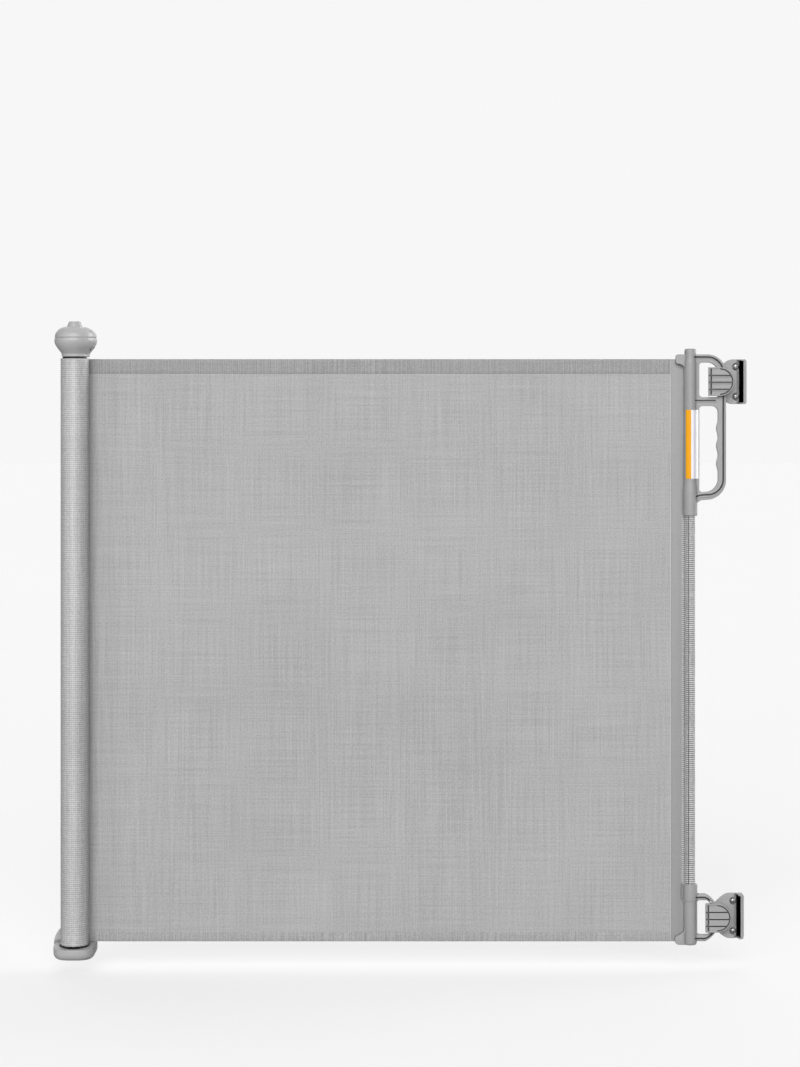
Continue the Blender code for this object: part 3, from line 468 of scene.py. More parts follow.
def cloth(name, grey, contrast, up=1.0, across=0.4, ribs=0.0, rib_start=0.0, around=None):
    """Coated mesh cloth: crossing yarns, uneven ones that streak it both ways, and cords that make ribs.

    The cloth lies flat along X and Z, or round the axis `around`.
    """
    nodes = Nodes(name)
    x, y, z = nodes.split()
    along, yarn, dull, sheen = x, RIB_PITCH * MM / 2, 0.5, 0.1
    if around is not None:
        from_axis = nodes.math("SUBTRACT", y, around.y), nodes.math("SUBTRACT", x, around.x)
        along = nodes.math("ARCTAN2", *from_axis)
        yarn, dull, sheen = RIB_PITCH / ROLL_RADIUS, 0.34, 0.0
        nodes.fix("Specular IOR Level", 1.0)
    warp = wave(nodes, along, yarn)
    weft = wave(nodes, z, RIB_PITCH * MM / 2)
    crossing = nodes.math("MULTIPLY", warp, weft)
    rib = wave(nodes, z, RIB_PITCH * MM, rib_start)
    fine, long = 620, 9
    up_streaks = nodes.noise(1.0, (fine, fine, long))
    uneven = nodes.sum(
        (up_streaks, up),
        (nodes.noise(1.0, (long, long, fine)), across),
        (nodes.noise(420.0, detail=1.0), 0.9),
        (nodes.noise(5.0, detail=3.0), 0.4),
        (crossing, 0.5),
        (rib, ribs),
    )
    colour = nodes.ramp(uneven, shade(grey - contrast), shade(grey + contrast))
    nodes.link(colour, nodes.shader.inputs["Base Color"])
    nodes.link(nodes.range(crossing, dull + 0.1, dull), nodes.shader.inputs["Roughness"])
    nodes.bump(nodes.sum((crossing, 0.5), (up_streaks, 0.5)), depth=0.00015)
    nodes.fix("Sheen Weight", sheen)
    nodes.fix("Sheen Roughness", 0.5)
    return nodes.material


def film(name, colour):
    """Printed label film, with a slight mottle."""
    nodes = Nodes(name)
    mottle = nodes.noise(700.0)
    darker = tuple(part * 0.94 for part in colour)
    nodes.surface(nodes.ramp(mottle, darker, colour), mottle, smooth=0.3, rough=0.42, depth=0.00001)
    nodes.fix("Specular IOR Level", 0.25)
    return nodes.material


# -------- roller, cap and lower bracket


def wall_ring(radius, z, back=None, corner=2.0, squareness=2.0):
    """A plan outline: a front that is half a circle, or squarer, and sides back to the wall."""
    back = WALL if back is None else back
    shortest_side = 0.05
    corner = min(corner, back - shortest_side)
    front = []
    for x, y in arc((0, 0), 1.0, 180, 360, 48):
        reach = radius / (abs(x) ** squareness + abs(y) ** squareness) ** (1 / squareness)
        front.append((x * reach, y * reach))
    rear_right = arc((radius - corner, back - corner), corner, 0, 90, 8)
    rear_left = arc((corner - radius, back - corner), corner, 90, 180, 8)
    return [(x, y, z) for x, y in front + rear_right + rear_left]


def make_roll(finish):
    """The wound cloth: a rib for each cord, and its layers showing at both ends."""
    depth, inner, layers, layer_dip = 0.2, 16.7, 4, 0.35
    bottom, top = MESH_BOTTOM, height("mesh_roll", 1)
    ends = []
    for k in range(1, 2 * layers + 1):
        ends.append((ROLL_RADIUS - (ROLL_RADIUS - inner) * k / (2 * layers), layer_dip * (k % 2)))
    profile = ribbed_profile(bottom, top, ROLL_RADIUS, depth)
    profile += [(radius, top - dip) for radius, dip in ends]
    profile += [(radius, bottom + dip) for radius, dip in reversed(ends)]
    piece("wound_mesh", lathe(profile, 72), finish["roll"], "roller", ROLLER, ["mesh_roll"])


def ribbed_profile(low, high, radius, depth):
    """A side going up, with a rib at its start and one more at each pitch."""
    steps = 4
    profile = []
    for k in range(int((high - low) / RIB_PITCH * steps)):
        wave_height = (1 - math.cos(2 * math.pi * k / steps)) / 2
        profile.append((radius - depth * wave_height, low + RIB_PITCH * k / steps))
    return profile + [(radius, high)]


def cap_radius(z):
    """The lower shell's half width: a neck that swells to the bulge, and draws in a little to the seam."""
    neck, bulge, seam = (17.4, 814.0), (27.3, 833.0), (26.8, SEAM_Z)
    if z > bulge[1]:
        return bulge[0] + (seam[0] - bulge[0]) * (z - bulge[1]) / (seam[1] - bulge[1])
    along = max((z - neck[1]) / (bulge[1] - neck[1]), 0.0)
    swell = (1 - math.cos(math.pi * along**0.7)) / 2
    return neck[0] + (bulge[0] - neck[0]) * swell


def seam_ring(z):
    """A ring a step inside the cap's outline, at the bottom of the groove between its mouldings."""
    off_wall = 0.2
    return wall_ring(cap_radius(SEAM_Z) - SEAM_STEP, z, WALL - off_wall)


def make_cap_shell(finish):
    """The cap's lower moulding, with a boss for the clamping screw."""
    steps, boss_at, boss_turn = 30, (17.0, 0.0, 829.0), (0, 131.0, -6.0)
    low = height("cap_lower_shell", 0)
    rings = [wall_ring(cap_radius(z), z) for z in spread(low, SEAM_Z - SEAM_GAP, steps)]
    rings.append(seam_ring(SEAM_Z))
    boss = soft_edges(cylinder(4.6, 0, 11.0, 40), 0.5)
    hole = lathe([(0, 4.4), (2.7, 4.4), (2.9, 12.0), (0, 12.0)], 32)
    cutters = [cylinder(CAP_BORE, 800.0, 840.0), turned_mesh(hole, boss_at, boss_turn)]
    mesh = moulded([loft(rings), turned_mesh(boss, boss_at, boss_turn)], cutters)
    piece("cap_shell", mesh, finish["cap"], "root", ROLLER, ["cap_lower_shell"])


def make_cap_dome(finish):
    """The cap's upper moulding, which rounds in to the lock button's hole."""
    steps, edge, corner_radius, hole = 30, 11.0, 2.0, 10.7
    top = height("cap_dome", 1)
    rings = [seam_ring(SEAM_Z - 0.1)]
    for angle in spread(0, math.pi / 2, steps):
        radius = edge + (cap_radius(SEAM_Z) - edge) * math.cos(angle)
        z = SEAM_Z + SEAM_GAP + (top - SEAM_Z - SEAM_GAP) * math.sin(angle)
        rounding = math.sin(angle) ** 4
        back = WALL + (radius - WALL) * rounding
        corner = corner_radius + (back - corner_radius) * rounding
        rings.append(wall_ring(radius, z, back, corner))
    hollow = [(0, 830.0), (CAP_BORE, 830.0), (CAP_BORE, 844.0), (hole, 847.5), (hole, 860.0), (0, 860.0)]
    mesh = moulded([loft(rings)], [lathe(hollow)])
    piece("cap_top", mesh, finish["cap"], "root", ROLLER, ["cap_dome"])


def make_knob(finish):
    """The lock button: a skirt in the dome's hole, and a tapered top with a line across it."""
    low, high = height("lock_knob", 0), height("lock_knob", 1)
    socket, socket_depth, skirt, tip, rounding = 3.3, 8.0, 10.3, 7.7, 0.5
    profile = [(0, low + socket_depth), (socket, low + socket_depth), (socket, low), (skirt, low)]
    profile += [(skirt, 851.3), (skirt - 0.2, 851.8)]
    profile += arc((tip - rounding, high - rounding), rounding, 20, 90, 5) + [(0, high)]
    mark = soft_edges(block((-0.6, 1.5, high - 0.5), (0.6, 6.2, high + 1.0)), 0.15)
    mesh = applied(*combined([lathe(profile, 96)], [mark]))
    piece("lock_button", mesh, finish["cap"], "knob_body", ROLLER, ["lock_knob"], sharp=35)


def make_button_spring(finish):
    """The coil under the lock button, at the length of the CAD spring."""
    low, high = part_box("button_spring")
    wire, turns, steps, sides = 0.5, 2.5, 24, 8
    coil = (high.x - low.x) / 2 / MM - wire
    length = (high.z - low.z) / MM
    count = int(turns * steps)
    rings = []
    for k in range(count + 1):
        turn = 2 * math.pi * k / steps
        level = wire + (length - 2 * wire) * k / count
        ring = []
        for angle in angles(sides):
            reach = coil + wire * math.cos(angle)
            ring.append((reach * math.cos(turn), reach * math.sin(turn), level + wire * math.sin(angle)))
        rings.append(ring)
    foot = Vector((ROLLER.x, ROLLER.y, low.z))
    mesh = loft(rings)
    spring = piece("button_spring_coil", mesh, finish["zinc"], "root", foot, ["button_spring"])
    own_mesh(spring)


def make_lower_bracket(finish):
    """A cup with a soft squarish front and a rim that slopes to the wall, on a round-topped plate."""
    radius, rim, fillet, inset, squareness = 28.0, 17.3, 9.0, 7.0, 2.9
    steps = 16
    rings = []
    for angle in spread(0, math.pi / 2, steps):
        drawn_in = inset * (1 - math.sin(angle))
        rings.append(wall_ring(radius - drawn_in, fillet * (1 - math.cos(angle)), squareness=squareness))
    rings.append(wall_ring(radius, rim, squareness=squareness))
    slope = (5.3, 0, 0)
    above = turned_mesh(block((-40, -60, 0), (40, 0, 20)), (0, 1.0, rim), slope)
    centre, arch_radius, thickness = (-1.8, 13.6), 29.4, 5.0
    sides = [(centre[0] - arch_radius, 7.0), (centre[0] + arch_radius, 7.0)]
    outline = sides + arc(centre, arch_radius, 0, 180, 48)
    plate = soft_edges(extrude(outline, WALL - thickness, WALL), 1.0)
    bore = cylinder(20.6, 9.5, 60.0)
    mesh = moulded([loft(rings)], [above], voxel=0.5, keep=0.3)
    mesh = moulded([mesh, plate], [bore], voxel=0.5, keep=0.3)
    piece("roller_foot", mesh, finish["foot"], "root", ROLLER, ["lower_roller_bracket"])


# -------- screws


def screw_mesh(head, shank):
    """A cross-head wood screw along +Z with a real thread. `head` is the head's profile from its top."""
    length, pitch, root, thread = 32.0, 2.0, 0.25, 0.45
    point, tip, sides, rows = 6.0, 0.08, 20, 84
    start = head[-1][1] + 1.0
    rings = []
    for r, z in head:
        rings.append([(r * math.cos(a), r * math.sin(a), z) for a in angles(sides)])
    for z in spread(start, length, rows):
        taper = min(1.0, (length - z) / point + tip)
        ring = []
        for a in angles(sides):
            phase = (z / pitch - a / (2 * math.pi)) % 1.0
            ridge = max(0.0, 1 - abs(phase - 0.5) * 4) * min(1.0, (z - start) / pitch)
            reach = (shank - root + thread * ridge) * taper
            ring.append((reach * math.cos(a), reach * math.sin(a), z))
        rings.append(ring)
    return loft(rings)


def cross_head(mesh, top, depth):
    """Cuts the cross recess."""
    half, thin, low, high = 2.5, 0.5, top - 1, top + depth
    arms = [block((-x, -y, low), (x, y, high)) for x, y in ((thin, half), (half, thin))]
    return applied(*combined([mesh], arms))


def make_screws(finish):
    """Pan heads stand in the latch brackets' wells; countersunk ones are flush in the roller's brackets."""
    shank, pan_radius, pan_top, pan_foot = 1.9, 3.8, -1.6, 1.7
    sunk_top, well, recess = 0.3, 1.0, 1.5
    pan, steps, first = [], 6, 0.05
    for angle in spread(first, math.pi / 2, steps):
        pan.append((pan_radius * math.sin(angle), pan_top + 2.0 * (1 - math.cos(angle)) ** 1.3))
    pan += [(pan_radius, pan_foot - 0.1), (shank, pan_foot), (shank, pan_foot + 0.4)]
    sunk = [(0.3, sunk_top), (4.2, sunk_top), (4.4, 0.45), (shank, 3.0), (shank, 3.4)]
    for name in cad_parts:
        low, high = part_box(name)
        head = Vector(((low.x + high.x) / 2, low.y, (low.z + high.z) / 2))
        if "latch_screw" in name:
            mesh, top = screw_mesh(pan, shank), pan_top
            head.y += well * MM
        elif name.startswith(("lower_bracket_screw", "upper_plate_screw")):
            mesh, top = screw_mesh(sunk, shank), sunk_top
        else:
            continue
        mesh = turned_mesh(cross_head(mesh, top, recess), (0, -top, 0), (-90, 0, 0))
        piece(name + "_detail", mesh, finish["zinc"], "root", head, [name], sharp=50)


# -------- handle and bottom fitting


def frame_path(inset, low_inset=None):
    """A line inside the handle frame's outer edge, over the top and down to the tube.

    Round the lower corner the inset grows to `low_inset`.
    """
    out, top, low = 48.0, 814.0, 643.6
    top_arc, low_arc, steps = 25.0, 26.5, 20
    low_inset = inset if low_inset is None else low_inset
    path = [(4.0, top - inset)] + arc((out - top_arc, top - top_arc), top_arc - inset, 90, 0, steps)
    for k in range(steps + 1):
        angle = -math.pi / 2 * k / steps
        radius = low_arc - inset - (low_inset - inset) * k / steps
        path.append((out - low_arc + radius * math.cos(angle), low + radius * math.sin(angle)))
    level = low - low_arc + low_inset
    return path + [(14.0, level - 0.6), (4.0, level - 3.0)]


def grip_wave():
    """Three finger bumps on the grip's inner side, going up."""
    centre, pitch, rise, right = 690.2, 23.8, 2.1, 37.3
    steps = 48
    low = centre - 1.5 * pitch
    found = []
    for z in spread(low, low + 3 * pitch, steps):
        phase = 2 * math.pi * (z - centre) / pitch
        found.append((right - rise * (1 + math.cos(phase)) / 2, z))
    return found


def handle_solids():
    low, high = HANDLE_Z
    tube = [(0, low), (8.8, low), (9.4, low + 0.5), (9.6, low + 1.4)]
    tube += [(9.6, 629.0), (9.3, 633.0), (8.9, 637.5), (8.7, 641.0), (8.7, 803.0), (7.9, 806.5)]
    tube += [(7.9, high - 2.4), (7.3, high - 0.9), (6.0, high), (0, high)]
    outline = frame_path(0.0)
    outline[0] = (0, outline[0][1])
    outline[-1] = (9.0, 613.0)
    outline.append((0, 610.5))
    hook = rounded_box(11.9, 37.3, 756.2, 802.9, (4, 2, 14, 4))
    grip = rounded_box(11.9, 37.3, 627.6, 743.9, (4, 18, 8, 4), grip_wave())
    body = soft_edges(extrude(outline, -HALF_FRAME, HALF_FRAME, holes=(hook, grip)), 1.6)
    left = -19.9
    nose = (
        [(0, 797.0), (-8.5, 797.4), (-11.5, 799.6), (-14.5, 800.9)]
        + arc((left + 3.5, 804.6), 3.5, 250, 180, 6)
        + arc((left + 3.5, 810.5), 3.5, 180, 90, 6)
        + [(0, 814.0)]
    )
    solids = [lathe(tube), body, soft_edges(extrude(nose, -4.0, 3.8), 1.6)]
    for side in (-1, 1):
        solids.append(bead(frame_path(2.2, 4.4), 0.9, side * (HALF_FRAME - 0.45)))
        solids.append(bead(frame_path(5.4, 8.6), 0.8, side * (HALF_FRAME - 0.45)))
        solids.append(bead([(4.0, 749.8), (37.0, 749.8)], 0.8, side * (HALF_FRAME - 0.4)))
    return solids


def make_handle(finish):
    """The handle, with a groove that follows its outer edge and one across its bridge, on both faces."""
    groove = HALF_FRAME + 0.1
    cutters = [cylinder(7.3, 590.0, 602.0, 48)]
    for side in (-1, 1):
        cutters.append(bead(frame_path(3.75, 6.75), 0.75, side * groove, 1.9))
        cutters.append(bead([(4.0, 751.4), (34.0, 751.4)], 0.7, side * groove, 1.7))
    mesh = moulded(handle_solids(), cutters, rounds=2)
    piece("pull_handle", mesh, finish["plastic"], "bar", ROD, ["handle"])
    make_label(finish)


def make_label(finish):
    """A blank film in two colours that wraps the tube and runs flat onto the frame beside it."""
    low, high = height("side_label", 0), height("side_label", 1)
    radius = 9.0
    flat_y = -HALF_FRAME - 0.3
    turn_on = math.degrees(math.asin(-flat_y / radius))
    stripe_low, stripe_high = -66.0, -47.0
    bands = (
        ("left", arc((0, 0), radius, -136, -88, 16)),
        ("right", arc((0, 0), radius, -87.9, stripe_low, 8)),
        ("stripe", arc((0, 0), radius, stripe_low + 0.1, stripe_high, 8)),
        ("edge", arc((0, 0), radius, stripe_high + 0.1, -turn_on, 8) + [(9.2, flat_y), (10.2, flat_y)]),
    )
    for name, line in bands:
        outer = [(x * 1.03, y * 1.03 - 0.02) for x, y in reversed(line)]
        mesh = extrude(line + outer, low, high, along="z")
        replaces = ["side_label"] if name == "left" else []
        piece(f"label_{name}", mesh, finish[f"label_{name}"], "bar", ROD, replaces, sharp=40)


def loop_path(above, below=None):
    """A line inside the bottom fitting's loop, from its top rail down, with an inset for each half."""
    half, out, steps = 32.0, 42.5, 16
    halves = []
    for inset in (above, above if below is None else below):
        top = half - inset
        start, control, end = (19.0, top), (29.0 - inset * 0.3, top - 1.6), (out - inset, 6.4)
        line = [(4.0 if inset else 0.0, top)]
        for t in spread(0, 1, steps):
            shares = ((1 - t) ** 2, 2 * t * (1 - t), t * t)
            line.append(tuple(sum(map(operator.mul, shares, parts)) for parts in zip(start, control, end)))
        halves.append(line)
    return halves[0] + [(x, -z) for x, z in reversed(halves[1])]


def make_fitting(finish):
    """The tube, hook loop, nose and fin at the rod's foot."""
    low, high = FITTING_Z
    centre = 51.6
    tube = [(0, low), (5.6, low), (7.4, low + 0.6), (8.5, low + 1.9), (8.8, low + 3.4)]
    tube += [(8.8, 72.4), (9.0, 73.6), (9.5, 75.2), (9.6, 76.6), (9.6, high - 1.0), (9.1, high), (0, high)]
    window = rounded_box(9.2, 33.5, -23.3, 23.3, (3, 12, 12, 3))
    loop = extrude(loop_path(0.0), -HALF_FRAME, HALF_FRAME, holes=(window,))
    solids = [lathe(tube), turned_mesh(soft_edges(loop, 1.4), (0, 0, centre))]
    left = -21.0
    nose = (
        [(0, low + 0.1)]
        + arc((left + 5.5, low + 5.8), 5.5, 270, 180, 8)
        + arc((left + 3.2, 23.4), 3.2, 180, 118, 5)
        + [(-14.0, 28.4), (-9.6, 32.0), (-8.4, 37.0), (0, 40.0)]
    )
    solids.append(soft_edges(extrude(nose, -4.0, 3.8), 1.6))
    fin = rounded_box(-11.9, 0.0, 75.8, high - 0.2, (1.8, 0.5, 0.5, 1.5))
    solids.append(soft_edges(extrude(fin, -1.5, 3.6), 0.8))
    cutters = [cylinder(7.3, 90.0, 100.0, 48)]
    for side in (-1, 1):
        ridge = bead(loop_path(2.8, 1.8), 0.9, side * (HALF_FRAME - 0.45))
        inner_ridge = bead(loop_path(7.0, 5.4), 0.7, side * (HALF_FRAME - 0.4))
        groove = bead(loop_path(5.0, 3.6), 0.8, side * (HALF_FRAME + 0.1), 2.2)
        solids += [turned_mesh(mesh, (0, 0, centre)) for mesh in (ridge, inner_ridge)]
        cutters.append(turned_mesh(groove, (0, 0, centre)))
    mesh = moulded(solids, cutters, rounds=2)
    piece("foot_fitting", mesh, finish["plastic"], "bar", ROD, ["bottom_fitting"])


# -------- latch brackets


def plate_outline():
    """A narrow neck under the tongue that spreads to a tall screw plate."""
    left, neck_half, neck, corner, steps = 26.0, 17.0, (38.0, 58.0), 3.0, 16
    upper = arc((left + 9.0, neck_half - 9.0), 9.0, 180, 90, 8)
    for along in spread(0, 1, steps):
        rise = (LATCH_HALF - neck_half) * math.sin(math.pi / 2 * along)
        upper.append((neck[0] + (neck[1] - neck[0]) * along, neck_half + rise))
    upper += arc((LATCH_WIDTH - corner, LATCH_HALF - corner), corner, 90, 0, 8)
    return upper + [(x, -z) for x, z in reversed(upper)]


def tongue_outline(inset=0.0):
    left, centre, half = 23.6, 39.0, 19.4
    outline = [(left + inset, half - inset), (left + inset, -half + inset)]
    return outline + arc((centre, 0), half - inset, -90, 90, 40)


def tongue_relief(front, flip):
    """The rim and three ridges that stand on a tongue's face, and the grooves cut beside them."""
    rim, ridge, groove, tall = 0.9, 0.75, 0.7, 1.5
    level = front + 0.6
    edge = tongue_outline(rim)
    raised = [bead(edge[1:] + edge[:1], rim, front + rim)]
    raised.append(bead([(25.0, 17.2), (25.0, -17.2)], rim, front + rim))
    cut = []
    for row in (8.2, -1.0, -10.6):
        row = row if flip > 0 else -row - 2.6
        reach = 39.0 + math.sqrt(17.0**2 - row**2)
        beside = row - flip * 1.4
        raised.append(bead([(28.0, beside), (reach - 1.0, beside)], ridge, front + 0.8))
        cut.append(bead([(20.0, row), (reach, row)], groove, level, tall))
    cut.append(bead([(27.2, 17.4), (27.2, -17.4)], ridge, level, tall))
    cut.append(bead(tongue_outline(2.3)[2:], 0.65, level, 1.3))
    return raised, cut


def plate_cutters():
    """The channel beside the lip and the slope down to it, the lip's own fall, and the screws' wells."""
    half, slope, screw_x, screw_z = LATCH_HALF, 63.4, 62.8, 20.3
    groove, lip = CHANNEL_X
    cutters = [block((groove, 10.0, -half + 2.0), (lip, CHANNEL_FLOOR, half - 2.0))]
    low, foot = LATCH_FACE - 0.2, LATCH_FACE + 3.6
    wedge = [(slope, low), (slope, LATCH_FACE), (groove + 0.1, foot), (groove + 0.1, low)]
    outer = LATCH_WIDTH + 0.5
    fall = [(lip + 0.8, 12.0), (outer, 12.0), (outer, 16.0)]
    cutters += [extrude(outline, -half - 1, half + 1, along="z") for outline in (wedge, fall)]
    for up in (-1, 1):
        spot = (screw_x, LATCH_FACE, up * screw_z)
        for mesh in (cylinder(5.2, -3.0, 2.0, 48), cylinder(2.3, -2.0, 12.0, 32)):
            cutters.append(turned_mesh(mesh, spot, (-90, 0, 0)))
    return cutters


def channel_painted_shadow_lining():
    """A thin lining on the channel's sides and floor that carries the channel's painted shadow."""
    left, right, wall = CHANNEL_X[0] + 0.1, CHANNEL_X[1] - 0.1, 0.5
    floor = CHANNEL_FLOOR - wall
    outline = [(left, 25.0), (left + wall, 25.0), (left + wall, floor), (right - wall, floor)]
    outline += [(right - wall, 15.0), (right, 15.0), (right, CHANNEL_FLOOR), (left, CHANNEL_FLOOR)]
    return extrude(outline, -LATCH_HALF + 2.1, LATCH_HALF - 2.1, along="z")


def make_latch(finish, level, flip):
    """One wall bracket. `flip` is 1 or -1: the lower bracket's tongue is the upper one's mirror image."""
    node = f"latch_bracket_{level}"
    low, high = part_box(node)
    anchor = Vector((high.x - LATCH_WIDTH * MM, ROLLER.y, (low.z + high.z) / 2))
    front, back = 2.0, 9.0
    plate = soft_edges(extrude(plate_outline(), LATCH_FACE, WALL), 1.0)
    outline = rounded_box(CHANNEL_X[1] - 3.0, LATCH_WIDTH, -LATCH_HALF, LATCH_HALF, (0.6, 3, 3, 0.6))
    lip = soft_edges(extrude(outline, 12.5, WALL), 1.3)
    outline = rounded_box(31.1, 37.0, -12, 12, (1, 1, 1, 1))
    post = soft_edges(extrude(outline, back - 2, LATCH_FACE + 2), 0.8)
    tongue = soft_edges(extrude(tongue_outline(), front + 0.7, back), 1.2)
    raised, cut = tongue_relief(front, flip)
    mesh = moulded([plate, lip, post, tongue] + raised, cut + plate_cutters(), rounds=2)
    piece(f"latch_{level}", mesh, finish["bracket"], "root", anchor, [node])
    # The channel's lining is painted shadow: near-black where the deep channel lies in shade.
    piece(f"latch_{level}_channel", channel_painted_shadow_lining(), finish["shadow"], "root", anchor)


# -------- cloth


def wound_in(obj):
    """Gives a piece of the cloth between the roller and the leading hem its own copy of its mesh."""
    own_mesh(obj)


def ripple(x, z):
    """How far stretched cloth stands off its plane, in mm: little of it where it leaves the roll."""
    settled, slow_height, fine_height = 150.0, 0.7, 0.22
    slow = noise.noise(Vector((x * 0.004, z * 0.0025, 3.0)))
    fine = noise.noise(Vector((x * 0.016, z * 0.006, 8.0)))
    return (slow_height * slow + fine_height * fine) * min(1.0, max(x, 0.0) / settled)


def sheet_mesh(left, right, low, high, thickness, cell=9.0):
    """A closed sheet in the panel's plane with the cloth's ripple."""
    columns = max(2, int((right - left) / cell))
    rows = max(2, int((high - low) / cell))
    bm = bmesh.new()
    sides = []
    for face in (-0.5, 0.5):
        grid = []
        for x in spread(left, right, columns):
            column = []
            for z in spread(low, high, rows):
                column.append(bm.verts.new((x, ripple(x, z) + face * thickness, z)))
            grid.append(column)
        sides.append(grid)
    for grid in sides:
        for i in range(columns):
            for k in range(rows):
                bm.faces.new((grid[i][k], grid[i + 1][k], grid[i + 1][k + 1], grid[i][k + 1]))
    front, back = sides
    rim = [(i, 0) for i in range(columns)] + [(columns, k) for k in range(rows)]
    rim += [(i, rows) for i in range(columns, 0, -1)] + [(0, k) for k in range(rows, 0, -1)]
    for a, b in zip(rim, rim[1:] + rim[:1]):
        bm.faces.new((front[a[0]][a[1]], front[b[0]][b[1]], back[b[0]][b[1]], back[a[0]][a[1]]))
    return mesh_from(bm)


def add_stitch(bm, x, z, upright, thickness):
    """One stitch: a small spindle half sunk in each face of the cloth."""
    half, shoulder, radius, sunk, sides = 1.15, 0.55, 0.26, 0.13, 6
    along = Vector((0, 0, 1)) if upright else Vector((1, 0, 0))
    across = Vector((1, 0, 0)) if upright else Vector((0, 0, 1))
    for face in (-1, 1):
        centre = Vector((x, ripple(x, z) + face * (thickness / 2 - sunk), z))
        ends = [bm.verts.new(centre - along * half), bm.verts.new(centre + along * half)]
        rings = []
        for place in (-shoulder, shoulder):
            ring = []
            for angle in angles(sides):
                offset = across * (radius * math.cos(angle)) + Vector((0, radius * math.sin(angle), 0))
                ring.append(bm.verts.new(centre + along * (half * place) + offset))
            rings.append(ring)
        for s in range(sides):
            after = (s + 1) % sides
            bm.faces.new((rings[0][s], rings[0][after], rings[1][after], rings[1][s]))
            bm.faces.new((ends[0], rings[0][after], rings[0][s]))
            bm.faces.new((ends[1], rings[1][s], rings[1][after]))


def stitch_mesh(start, end, fixed, upright, thickness, pitch=STITCH_PITCH):
    """A row of stitches from start to end along X, or along Z when upright."""
    bm = bmesh.new()
    count = int((end - start) / pitch)
    for k in range(count):
        place = start + (end - start) * (k + 0.5) / count
        x, z = (fixed, place) if upright else (place, fixed)
        add_stitch(bm, x, z, upright, thickness)
    return mesh_from(bm)


def ribbed_strip(left, right, low, high, thickness):
    """A flat strip of the sleeve's cloth, with its ribs."""
    rings = []
    for reach, z in ribbed_profile(low, high, thickness / 2, 0.3):
        rings.append([(left, -reach, z), (right, -reach, z), (right, reach, z), (left, reach, z)])
    return loft(rings)


def make_cloth(finish):
    plane = Vector((0, PANEL_Y, BASE_Z))
    thickness, hem_thickness, hem_cell, margin, seam_inset = 0.5, 1.3, 4.0, 1.0, 1.6
    top_seam, bottom_seam = MESH_TOP - TOP_HEM, MESH_BOTTOM + BOTTOM_HEM
    panel = piece(
        "mesh_cloth",
        sheet_mesh(*PANEL_X, MESH_BOTTOM + margin, MESH_TOP - margin, thickness),
        finish["panel"], "root", plane, ["mesh_panel"], sharp=50,
    )
    pieces = []
    for name, low, high, seam in (
        ("top_hem", top_seam, MESH_TOP, top_seam + seam_inset),
        ("bottom_hem", MESH_BOTTOM, bottom_seam, bottom_seam - seam_inset),
    ):
        mesh = soft_edges(sheet_mesh(*PANEL_X, low, high, hem_thickness, hem_cell), 0.35, 2)
        pieces.append(piece(name, mesh, finish[name], "root", plane, sharp=50))
        mesh = stitch_mesh(*PANEL_X, seam, False, hem_thickness)
        pieces.append(piece(name + "_stitching", mesh, finish["thread"], "root", plane))
    for obj in (panel, *pieces):
        wound_in(obj)


def make_leading_hem(finish):
    """The sewn strip beside the rod: plain cloth, then the flange of the ribbed sleeve."""
    plane = Vector((0, PANEL_Y, BASE_Z))
    rod = ROD.x / MM
    edge, tube, collar, sleeve = rod - 11.0, rod - 8.1, rod - 9.0, rod - 6.2
    half, overlap, gap, seam_inset = 0.7, 0.3, 0.7, 1.6
    lower_step, low, high, upper_step = 71.9, FITTING_Z[1] + gap, HANDLE_Z[0] - gap, 634.0
    strip = [(LEAD_LEFT, MESH_BOTTOM), (edge, MESH_BOTTOM), (edge, MESH_TOP), (LEAD_LEFT, MESH_TOP)]
    mesh = soft_edges(extrude(strip, -half, half), 0.3, 2)
    hem = piece("lead_hem", mesh, finish["lead"], "bar", plane, ["leading_hem"], sharp=50)
    flange = ribbed_strip(edge - overlap, sleeve, low - 0.6, high + 0.6, 1.7)
    pieces = [piece("sleeve_flange", flange, finish["flange"], "bar", plane, sharp=60)]
    outlines = {
        "lower": [(tube, MESH_BOTTOM), (tube, lower_step), (collar, lower_step), (collar, low - gap)],
        "upper": [(collar, high + gap), (collar, upper_step), (tube, upper_step), (tube, MESH_TOP)],
    }
    for name, line in outlines.items():
        outline = line + [(edge - overlap, line[-1][1]), (edge - overlap, line[0][1])]
        mesh = soft_edges(extrude(outline, -half, half), 0.3, 2)
        pieces.append(piece(f"lead_hem_{name}", mesh, finish["lead"], "bar", plane, sharp=50))
    for name, x in (("inner", LEAD_LEFT + seam_inset), ("outer", edge - 1.4)):
        mesh = stitch_mesh(MESH_BOTTOM, MESH_TOP, x, True, 2 * half)
        pieces.append(piece(f"lead_stitching_{name}", mesh, finish["thread"], "bar", plane))
    # These stitches take the near-black painted-shadow finish, painted shade standing for the dark stitch
    # holes.
    mesh = stitch_mesh(low, high, rod - 8.0, True, 1.9, RIB_PITCH)
    pieces.append(piece("sleeve_stitching", mesh, finish["shadow"], "bar", plane))


def make_sleeve(finish):
    """The ribbed cloth tube round the rod, and the cord that closes its seam on the room side."""
    low, high = height("rod_sleeve", 0), height("rod_sleeve", 1)
    bore, rib_depth = 5.8, 0.6
    profile = ribbed_profile(low, high, SLEEVE_RADIUS, rib_depth) + [(bore, high), (bore, low)]
    piece("ribbed_sleeve", lathe(profile, 40), finish["sleeve"], "bar", ROD, ["rod_sleeve"])
    seam_x, seam_radius = -2.8, 0.55
    seam_y = -math.sqrt(SLEEVE_RADIUS**2 - seam_x**2)
    cord = bead([(seam_x, low + 4), (seam_x, high - 4)], seam_radius, seam_y)
    piece("sleeve_seam", cord, finish["seam"], "bar", ROD)


# -------- the CAD nodes that stay


